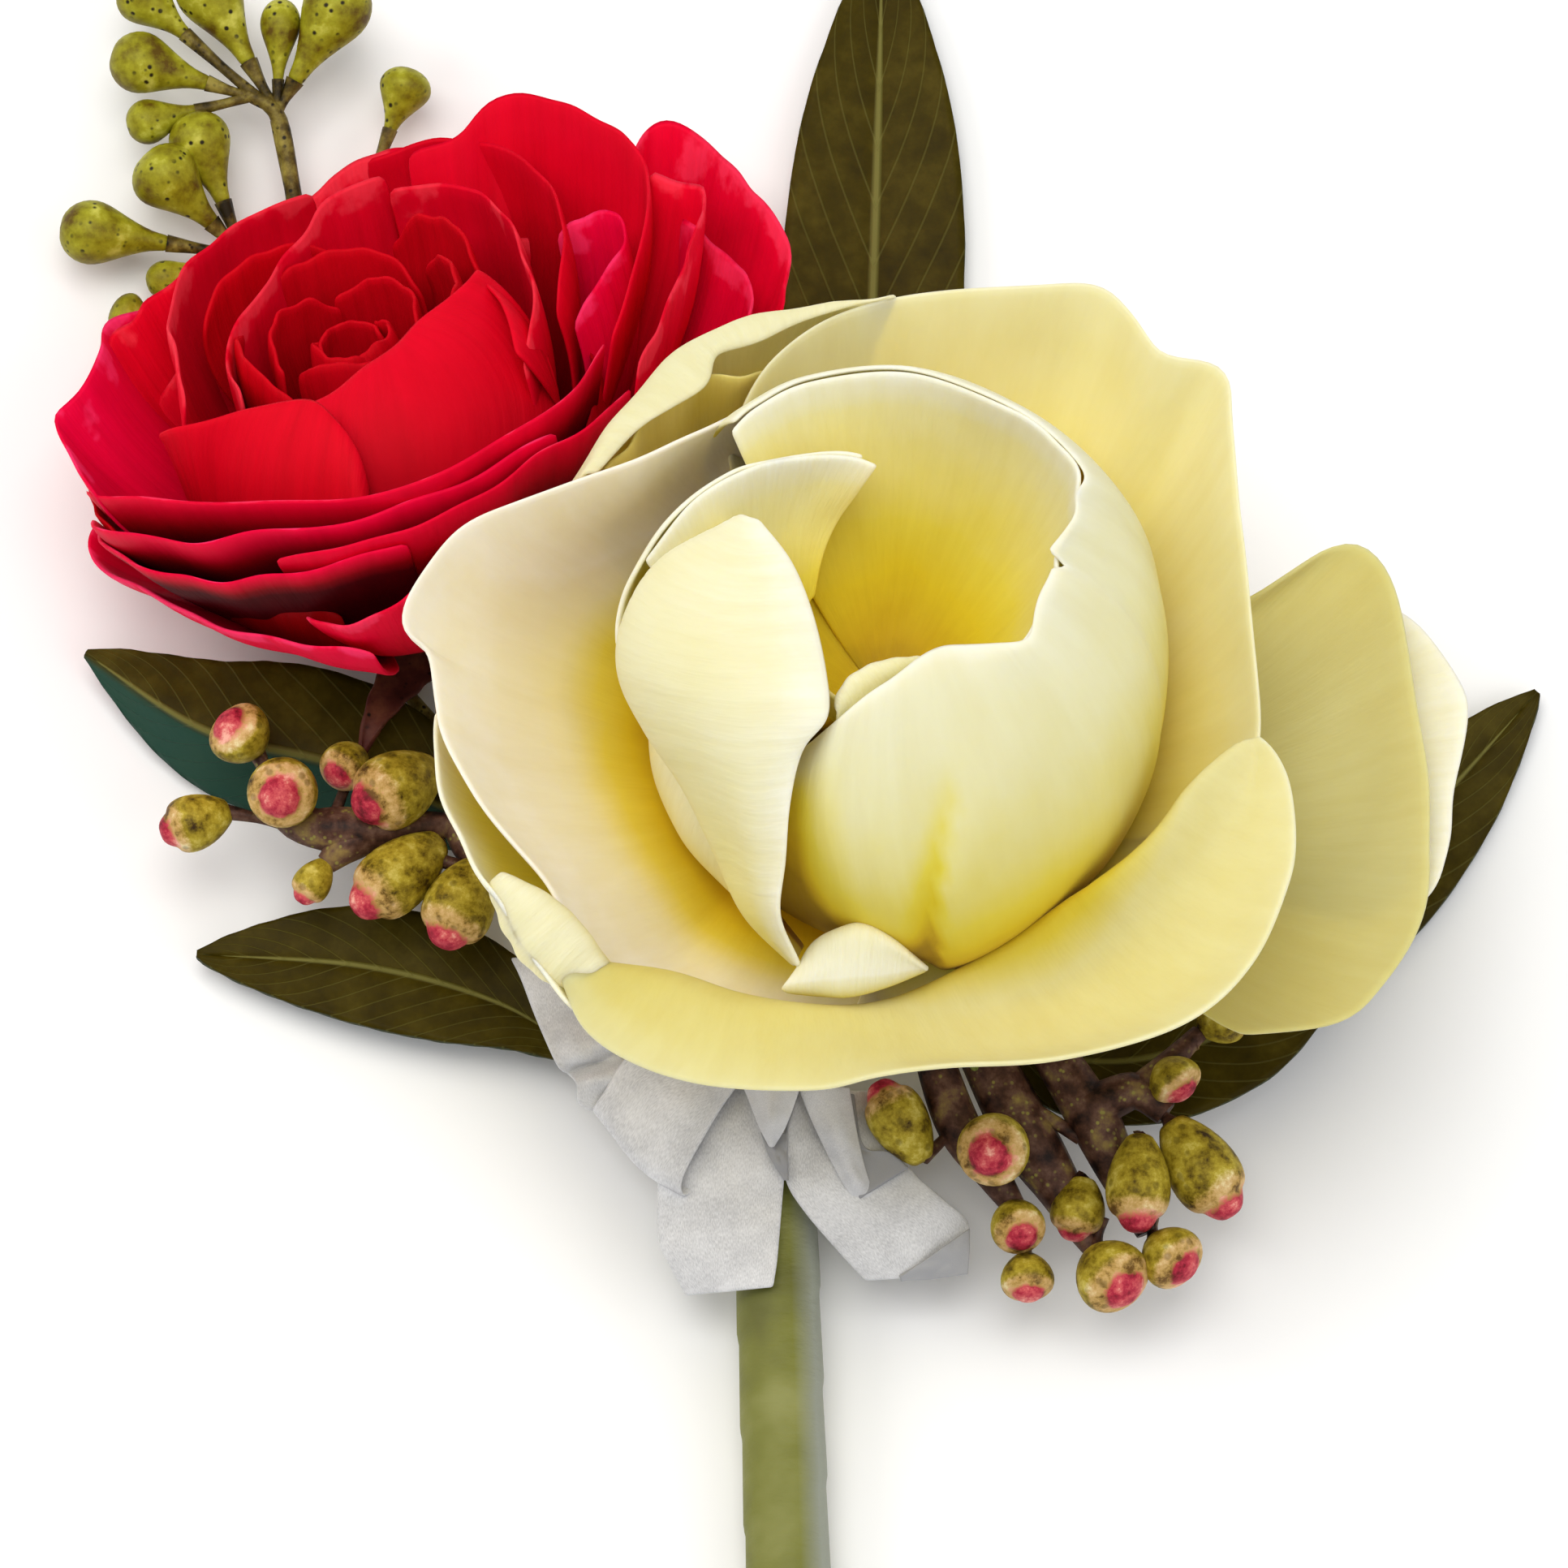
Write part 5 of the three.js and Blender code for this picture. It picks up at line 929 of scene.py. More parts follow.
redRose = {
    "base": (-25.4, 38.1, 7.5), "axis": (-0.176, 0.625, 0.76), "zero": (0.978, 0.198, 0.064), "fade": 1.5,
    "petal": {"columns": 19, "rows": 11, "thickness": 0.4, "uneven": 0.7, "pleat": 0.12, "ragged": 0.02,
              "tone": 0.56, "hold": "cup"},
    "petals": [
        # top centre, tall
        {"rim": [[80, 25, 25.5], [70, 25.6, 27.5], [65, 28.2, 29], [56, 28.4, 29.2], [48, 28, 29],
                 [34, 26.4, 28.5], [28, 25.8, 27.5], [18, 23, 26.5], [0, 19.5, 25], [346, 18, 23]],
         "hold": "open", "columns": 32, "rows": 17, "belly": (-10, 82), "tone": 0.58, "warm": 0.06},
        # top right
        {"rim": [[40, 28.4, 25], [42, 32.7, 26], [32, 33.2, 25.4], [15, 32.2, 24], [8, 32.7, 22],
                 [6, 31.7, 20], [4, 30.8, 18], [10, 28.5, 16]], "hold": "open", "columns": 28,
         "belly": (-2, 44), "tone": 0.65},
        {"rim": [[22, 26.6, 23.4], [14, 27.5, 23], [6, 28.8, 21], [1, 28.2, 19], [358, 26, 16.5]],
         "hold": "open", "tone": 0.7},
        {"rim": [[27, 25.4, 27.4], [17, 27.9, 26.4], [2, 25, 26], [352, 23, 25], [336, 20.7, 22]],
         "tone": 0.6, "hold": "open"},
        {"rim": arc(3, 20, 28.2, 19, drop=3), "hold": "open"},
        # rim on the far side, steep
        {"rim": [[104, 28.6, 20.6], [96, 30, 21.8], [88, 31.4, 22.8], [80, 30, 23.8], [66, 27, 24]],
         "hold": "open"},
        {"rim": [[146, 26, 20.4], [133, 26.3, 21], [124, 26.5, 21.2], [114, 27, 21], [102, 29, 20.6]],
         "hold": "open"},
        # left outer petal with a curled tip
        {"rim": [[128, 26, 19.6], [139, 27.4, 21], [152, 25, 21.2], [160, 25, 21.2], [167, 26.6, 20.6],
                 [174, 25.8, 19], [186, 24.3, 17.6]], "hold": "open", "tone": 1},
        # second ring on the left
        {"rim": [[97, 27.6, 23.6], [106, 27, 23.5], [116, 25.9, 23.4], [126, 23.9, 23.4], [139, 20.6, 23.4],
                 [152, 18, 24], [164, 16.3, 24], [184, 16.2, 22.6]], "columns": 26},
        {"rim": [[84, 24.6, 25], [95, 22.6, 24.8], [104, 18.8, 24.4], [117, 16, 24], [141, 13.8, 23.6],
                 [152, 13.4, 22.6], [185, 11.4, 22.4]], "columns": 26},
        # rings on the right
        {"rim": [[88, 28.6, 24], [80, 27.9, 25], [71, 27.2, 26], [57, 23.7, 26.5], [42, 20.1, 26],
                 [26, 16.6, 25.2], [15, 14.9, 24.2], [8, 13.6, 22]], "columns": 26, "warm": 0.12},
        {"rim": [[38, 18.6, 23.6], [34, 19.4, 24.8], [31, 20.6, 25.4], [26, 21.6, 25.4], [20, 21.2, 25],
                 [13, 18.5, 23.4], [8, 14.6, 21]], "tone": 0.74},
        {"rim": [[84, 23.4, 24], [69, 21.6, 25], [56, 18.7, 25.5], [34, 14.4, 25.5], [1, 12, 24.5],
                 [335, 11.2, 22]], "columns": 24},
        # big front petal and its neighbour on the left
        {"rim": [[212, 9.2, 22.4], [228, 6.4, 23.4], [250, 3.6, 24.4], [347, 3.2, 25], [18, 7.6, 26],
                 [26, 9.6, 26], [354, 10, 25], [334, 11, 23]],
         "columns": 30, "rows": 17, "belly": (232, 352), "hold": "hood", "tone": 0.54, "warm": 0.08},
        {"rim": [[186, 18.4, 21], [193, 17.6, 22.2], [199, 14.6, 23], [209, 11, 23.6], [226, 9.2, 24],
                 [240, 9.4, 23.4], [250, 10.6, 21.6], [256, 12.4, 18]],
         "columns": 28, "rows": 15, "hold": "shell", "tone": 0.5, "warm": 0.06},
        # near rims, one under another, each wall leaning in under its own rim
        {"rim": [[177, 25, 15.8], [186, 24.2, 17.2], [208, 19.4, 19.2], [239, 18, 21], [259, 19.4, 21.7],
                 [273, 19.8, 22.5],
                 [291, 18.6, 23], [315, 18.2, 23.2], [342, 18.2, 23.2]], "columns": 41, "hold": "stack",
         "tone": 0.66, "shade": stacked},
        {"rim": [[176, 25, 12.9], [188, 24.6, 15], [216, 21.4, 17.6], [233, 19.8, 19.2], [258, 19.8, 20.6],
                 [287, 19, 21.6],
                 [310, 19, 21]], "columns": 35, "tone": 0.72, "hold": "stack", "shade": stacked},
        {"rim": [[238, 21, 17.6], [250, 21.2, 18.6], [264, 21.2, 19.2], [283, 20.6, 20.4], [316, 19.8, 20.6],
                 [336, 19.6, 20]], "columns": 32, "tone": 0.66, "hold": "stack", "shade": stacked},
        {"rim": [[175, 25, 11.3], [186, 24.2, 12.8], [202, 23, 13.6], [218, 21.6, 14.4], [232, 21.6, 15.6],
                 [250, 21.4, 17],
                 [268, 21.2, 18.4]], "columns": 32, "ragged": 0.04, "tone": 0.72, "hold": "stack",
         "shade": [[0, 1], [0.86, 0.86], [0.93, 0.6], [0.97, 0.14], [1, 0]]},
        {"rim": [[240, 19.4, 11.6], [248, 21.4, 12], [256, 22.6, 12.8], [266, 22.9, 14.5], [276, 20.8, 16.6],
                 [286, 18.6, 18]], "tone": 0.66, "hold": "stack"},
        # wall under the near rims, painted dark as shade
        {"rim": arc(222, 26, 18.6, 13, drop=2), "tone": 0.1, "warm": 0.3},
        # wall at the left, where the near rims end, painted dark as shade
        {"rim": [[168, 24.8, 15.6], [172, 25, 14.8], [178, 24.8, 14.2], [186, 23.6, 14], [198, 21.6, 14]],
         "hold": "open", "warm": 0.3, "tone": 0.5},
        # lower guard
        {"rim": [[168, 25.8, 10.4], [172, 26.2, 9.8], [178, 25.2, 9.4], [196, 22, 9.2], [212, 20.8, 9.2],
                 [231, 20.4, 9.6], [245, 21.4, 9.6], [256, 22, 9]], "hold": "open", "columns": 32,
         "tone": 0.72},
        # hidden fillers that close the bloom from behind; the last three are painted darker as shade
        {"rim": arc(58, 30, 24, 19), "hold": "open"},
        {"rim": arc(110, 34, 23, 17), "hold": "open"},
        {"rim": arc(318, 30, 17, 13.4), "hold": "open", "warm": 0.4},
        {"rim": arc(286, 30, 17.4, 17), "warm": 0.4},
        {"rim": arc(352, 26, 16, 18.4), "warm": 0.4},
    ],
    "heart": [
        {"rim": arc(100, 80, 2.4, 20.6, drop=1)},
        {"rim": arc(220, 76, 3, 21, drop=1)},
        {"rim": arc(340, 76, 3.4, 21, drop=1)},
        {"rim": arc(40, 58, 5.4, 22.4, drop=2, lean=0.6)},
        {"rim": arc(150, 56, 5.6, 22.4, drop=2, lean=0.6)},
        {"rim": arc(268, 56, 5.6, 21.6, drop=2, lean=0.6)},
        {"rim": arc(88, 50, 8.6, 23.6, drop=3, lean=0.8)},
        {"rim": arc(4, 44, 9.2, 24.2, drop=3, lean=0.8)},
        {"rim": arc(196, 50, 9, 22.8, drop=3, lean=0.8)},
        {"rim": arc(40, 30, 11.6, 25, drop=4, lean=0.8)},
        {"rim": arc(120, 34, 12, 24, drop=3, lean=0.8)},
    ],
    "heartPetal": {"shift": (-2.5, 7.5), "root": (1.5, 6), "columns": 19, "rows": 9, "uneven": 0.8,
                   "warm": 0.16, "ragged": 0.05, "hold": "heart", "tone": 0.46, "thickness": 0.46},
}


def makeRose(name, rose, groups, material, node, slot):
    pieces = []
    for group in groups:
        for petal in rose[group]:
            pieces.append(petalPiece(rose, {**rose.get(group + "Petal", {}), **petal}, len(pieces)))
    bloom = joinPieces(name, pieces, material)
    stand(bloom, node, slot=slot)
    return bloom


makeRose("creamRoseOuterPetals", creamRose, ["outer", "tips"], creamSkin, "cream_bloom", "cream_petal")
print("cream outer petals made")
makeRose("creamRoseBall", creamRose, ["ball", "heart"], creamSkin, "cream_bloom", "cream_petal")
print("cream ball made")
makeRose("redRosePetals", redRose, ["petals", "heart"], redSkin, "red_bloom", "red_petal")
print("red rose made")


sleeve = {"cutEnd": (1.9, -47, 3.3), "mouth": (0.05, 7, 5.45), "radius": 3.2, "mouthRadius": 5.1,
          "flareLength": 13, "wall": 0.45, "wrapEvery": 7.5, "wrapStep": 0.16}
stems = {"spacing": 1.22, "radius": 1.05, "ring": 3.1, "depth": 3.2, "spread": 1.14}
sleeveAxis = Vector(sleeve["mouth"]) - Vector(sleeve["cutEnd"])
sleeveLength = sleeveAxis.length


def inSleeve(along, x, z):
    return Vector(sleeve["cutEnd"]) + sleeveAxis * (along / sleeveLength) + Vector((x, 0, z))


def bound(turn):
    # where a thin stem ends in the mouth, and where it leaves it
    angle = math.radians(turn)
    x, z = stems["ring"] * math.cos(angle), stems["ring"] * math.sin(angle)
    return [inSleeve(sleeveLength - stems["depth"], x, z),
            inSleeve(sleeveLength + 1.4, x * stems["spread"], z * stems["spread"])]


def makeTape():
    around, steps = 48, 120
    forward = np.array(sleeveAxis.normalized())
    side = np.array(Vector((1, 0, 0)) - Vector((1, 0, 0)).dot(sleeveAxis.normalized()) * sleeveAxis.normalized())
    side /= np.linalg.norm(side)
    lift = np.cross(side, forward)
    angle = np.linspace(0, 2 * math.pi, around + 1)[None, :]
    along = np.linspace(0, sleeveLength, steps + 1)[:, None]
    flare = smoothstep(along, sleeveLength - sleeve["flareLength"], sleeveLength)
    # each turn of the tape laps over the one before with a small step
    turn = (along / sleeve["wrapEvery"] + angle / (2 * math.pi)) % 1
    radius = sleeve["radius"] - sleeve["wall"] / 2 + (sleeve["mouthRadius"] - sleeve["radius"]) * flare
    radius = radius + sleeve["wrapStep"] * (smoothstep(turn, 0, 0.12) * (1 - turn)) - 0.06
    points = (np.array(sleeve["cutEnd"]) + along[:, :, None] * forward
              + radius[:, :, None] * (np.cos(angle)[:, :, None] * side + np.sin(angle)[:, :, None] * lift))
    tape = shapedGrid("floralTape", points, 0, 0)
    mesh = bmesh.new()
    mesh.from_mesh(tape.data)
    bmesh.ops.remove_doubles(mesh, verts=mesh.verts, dist=1e-6)
    bmesh.ops.recalc_face_normals(mesh, faces=mesh.faces)
    mesh.to_mesh(tape.data)
    mesh.free()
    applyModifier(tape, "SOLIDIFY", thickness=sleeve["wall"] * mm, offset=0)
    joinPieces("floralTape", [tape], tapeMaterial())
    stand(tape, "stem_tape", slot="floral_tape")


makeTape()
print("tape made")


calyx = {"hip": [[0.3, -1.0], [0.62, -0.78], [0.92, -0.5], [1, -0.3], [0.86, -0.1], [0.7, -0.05]],
         "hipRadius": 3.75, "sepalThickness": 0.45}


def placeIn(rose, radius, azimuth, h):
    axes, base = roseFrame(rose)
    angle = math.radians(azimuth)
    return Vector(base + np.array([radius * math.cos(angle), radius * math.sin(angle), h]) @ axes)


def sepal(points, width, index):
    line = smoothLine(points, 17)
    tangent = np.gradient(line, axis=0)
    side = np.cross(tangent, (0, 0, 1))
    side /= np.linalg.norm(side, axis=1, keepdims=True)
    v = np.linspace(0, 1, 17)
    half = width / 2 * (1 - 0.9 * v ** 1.4) * (1 + 0.08 * np.sin(v * 30 + index))
    u = np.linspace(-1, 1, 9)
    points = line[:, None, :] + side[:, None, :] * (half[:, None] * u[None, :])[:, :, None]
    points[:, :, 2] += 0.25 * u[None, :] ** 2 + 0.12 * np.sin(v * 9 + index)[:, None]
    return shapedGrid(f"sepal{index}", points, calyx["sepalThickness"])


def hip(rose, height):
    form = turnedForm("hip", calyx["hip"], 24)
    axis = placeIn(rose, 0, 0, 1) - placeIn(rose, 0, 0, 0)
    form.data.transform(turnTo(axis, placeIn(rose, 0, 0, 0), (calyx["hipRadius"], calyx["hipRadius"], height)))
    applyModifier(form, "SUBSURF", levels=1, render_levels=1)
    return form


def stemInSleeve(offset):
    marks = [sleeveLength + 0.6, sleeveLength - 4, sleeveLength * 0.5, -0.8]
    return [inSleeve(along, offset, 0) for along in marks]


def makeCalyces():
    green = plantMaterial("greenCalyx", [(0.3, "#4f5a1c"), (0.7, "#9a9a54"), (0.5, "#727c34")], speck="#3a2c14")
    brown = plantMaterial("reddishCalyx", [(0.3, "#2c120e"), (0.7, "#7c4a34"),
                         (0.5, "#532620")], speck="#1c0c08")
    pieces = [hip(creamRose, 8.5)]
    for azimuth, reach in [(35, 13.5), (105, 12.5), (178, 13.5), (240, 13)]:
        pieces.append(sepal([placeIn(creamRose, 2.6, azimuth, -2.2), placeIn(creamRose, 6, azimuth, -1.9),
                             placeIn(creamRose, reach, azimuth, -1.4)], 4.6, len(pieces)))
    pieces.append(sepal([placeIn(creamRose, 2.6, 285, -2), (10.6, 12.5, 17), (13.8, 4.5, 14.8),
                         (16, -1.4, 11.8)], 4.2, len(pieces)))
    line = [placeIn(creamRose, 0, 0, -7), placeIn(creamRose, 0, 0, -10), (6.6, 15.8, 7.4), (3.6, 12.2, 5.8),
            *stemInSleeve(stems["spacing"])]
    pieces.append(tube("stem", line, [stems["radius"]] * len(line), 16, 6))
    stand(joinPieces("creamRoseCalyx", pieces, green), "cream_calyx", slot="calyx_green")
    pieces = [hip(redRose, 5)]
    for azimuth, reach in [(10, 9), (182, 10)]:
        pieces.append(sepal([placeIn(redRose, 2.6, azimuth, -2.1), placeIn(redRose, 5, azimuth, -2.2),
                             placeIn(redRose, reach, azimuth, -1.8)], 4.2, len(pieces)))
    pieces.append(sepal([placeIn(redRose, 2.6, 240, -2.2), (-28.4, 31.4, 8.6), (-30.4, 27.6, 9.6),
                         (-31.4, 25, 9)], 4.8, 8))
    pieces.append(sepal([placeIn(redRose, 2.6, 290, -2.2), (-24, 30.6, 8.6), (-24.6, 27, 9),
                         (-25.6, 23.8, 8.4)], 4.8, 9))
    line = [placeIn(redRose, 0, 0, -4), placeIn(redRose, 0, 0, -5.6), (-20.8, 30.6, 2.5), (-12.4, 21.6, 3),
            (-4.2, 13, 4.6), *stemInSleeve(-stems["spacing"])]
    pieces.append(tube("stem", line, [stems["radius"]] * len(line), 16, 6))
    stand(joinPieces("redRoseCalyx", pieces, brown), "red_calyx", slot="calyx_brown")


makeCalyces()
print("calyces made")


leafThickness = 0.45
leaves = {
    "leaf_top": {
        "turn": 270, "stalk": [(2.6, 18, 1.5)], "width": 14.6, "fold": 7, "fullest": 0.55,
        "midrib": [(5.4, 32, 0.9), (7.6, 50, 0.6), (8.4, 68, 1), (8.9, 84, 1.4), (9.2, 97, 1)]},
    "leaf_left_upper": {
        "turn": 155, "stalk": [(-9, 13.4, 6.6)], "width": 14.6, "fold": -32, "bank": -32, "fullest": 0.5,
        "tealHalf": -1,
        "midrib": [(-18, 18.4, 6.4), (-32.4, 24.6, 6.7), (-43.6, 27.8, 6.5), (-53.2, 35.2, 3.4)]},
    "leaf_left_lower": {
        "turn": 190, "stalk": [(-7.4, 7.6, 4.6)], "width": 10, "fold": 6, "fullest": 0.5,
        "midrib": [(-13.6, 1.8, 4), (-20.6, 6.4, 4), (-31, 9.6, 3.4), (-44.2, 10.9, 2.4)]},
    "leaf_right": {
        "turn": 315, "stalk": [(8.5, 8.6, 2.8)], "width": 12, "fold": 5, "fullest": 0.55,
        "midrib": [(20, 5, 1.6), (34.6, 8.6, 1), (44.4, 15.4, 0.6), (52.2, 23.6, 0.9), (60.2, 32.6, 1.6)]},
    "leaf_lower_right": {
        "turn": 348, "stalk": [(8, 8.6, 5.2)], "width": 11, "fold": 6, "fullest": 0.5,
        "midrib": [(14, 4.8, 6.4), (25, 0.9, 6.8), (35.4, 3.4, 6.6), (45.8, 11, 5.6)]},
}


def makeLeaf(name, leaf, material, index):
    rows, columns = 56, 20
    line = smoothLine(leaf["midrib"], rows + 1)
    tangent = np.gradient(line, axis=0)
    tangent /= np.linalg.norm(tangent, axis=1, keepdims=True)
    side = np.cross(tangent, (0, 0, 1))
    side /= np.linalg.norm(side, axis=1, keepdims=True)
    up = np.cross(side, tangent)
    bank = math.radians(leaf.get("bank", 0))
    fold = math.radians(leaf["fold"])
    side, up = side * math.cos(bank) + np.cross(tangent, side) * math.sin(bank), \
        up * math.cos(bank) + np.cross(tangent, up) * math.sin(bank)
    v = np.linspace(0, 1, rows + 1)
    power = math.log(0.5) / math.log(leaf["fullest"])
    half = 0.3 + (leaf["width"] / 2 - 0.3) * np.sin(math.pi * v ** power) ** 0.85
    edge = half * (1 + 0.02 * roughness(np.stack([v * 14, v * 0, v * 0], 1), 1, index + 0.3))
    u = np.linspace(-1, 1, columns + 1)
    # the blade is a little hollow at the midrib and quilted between its side veins
    quilt = 0.07 * np.sin(2 * math.pi * 13 * (v[:, None] - 0.25 * np.abs(u)[None, :])) * np.abs(u)[None, :]
    lift = np.abs(u)[None, :] * edge[:, None] * math.sin(fold) - 0.16 * np.exp(-(u / 0.09) ** 2)[None, :]
    lift = lift + quilt * np.minimum(1, half / 3)[:, None] \
        + 0.25 * roughness(np.stack([v * 4, v * 0, v * 0], 1), 1, index)[:, None] * (u ** 2)[None, :]
    points = line[:, None, :] + side[:, None, :] * (edge[:, None] * u[None, :] * math.cos(fold))[:, :, None] \
        + up[:, None, :] * lift[:, :, None]
    points[:, :, 2] = np.maximum(points[:, :, 2], 0.32)
    blade = shapedGrid("blade", points, leafThickness, 0)
    under = np.empty(len(blade.data.vertices) * 3)
    blade.data.vertices.foreach_get("normal", under)
    shown = (under.reshape(-1, 3)[:, 2] < 0) * 0.5
    if leaf.get("tealHalf"):
        # the half of the blade below the midrib is a bluer green
        placed = np.array([vertex.co for vertex in blade.data.vertices]) / mm - np.array(bindingPoint)
        nearest = np.linalg.norm(placed[:, None] - line[None], axis=2).argmin(1)
        past = ((placed - line[nearest]) * side[nearest]).sum(1) * leaf["tealHalf"]
        shown = np.maximum(shown, 0.9 * np.clip(past / 0.6, 0, 1))
    setAttribute(blade, "side", shown.astype(float))
    route = [*bound(leaf["turn"]), *leaf["stalk"], Vector(line[0]), Vector(line[3])]
    petiole = tube("petiole", route, [0.55, 0.55, *[0.55] * len(leaf["stalk"]), 0.5, 0.3], 12, 8)
    setAttribute(petiole, "side", 0.0)
    piece = joinPieces(pieceName(name), [blade, petiole], material)
    stand(piece, name, slot="leaf_olive")


brownOlive = leafMaterial("oliveLeaf", [(0.3, "#2e2502"), (0.7, "#4c410c"), (0.5, "#3b3102")], "#1f463a")
for number, (leafName, leafSettings) in enumerate(leaves.items()):
    makeLeaf(leafName, leafSettings, brownOlive, number)
print("leaves made")


# [radius, height] of a bud of unit radius and length, from stalk to tip
pearProfile = [[0.24, 0], [0.26, 0.12], [0.36, 0.24], [0.62, 0.42], [0.9, 0.58], [1, 0.7], [0.93, 0.82],
               [0.68, 0.93], [0.3, 0.99]]
capProfile = [[0.34, 0], [0.46, 0.06], [0.7, 0.18], [0.9, 0.34], [1, 0.52], [0.98, 0.66], [0.88, 0.76],
              [0.74, 0.81], [0.64, 0.82], [0.58, 0.86], [0.42, 0.95], [0.2, 0.99]]

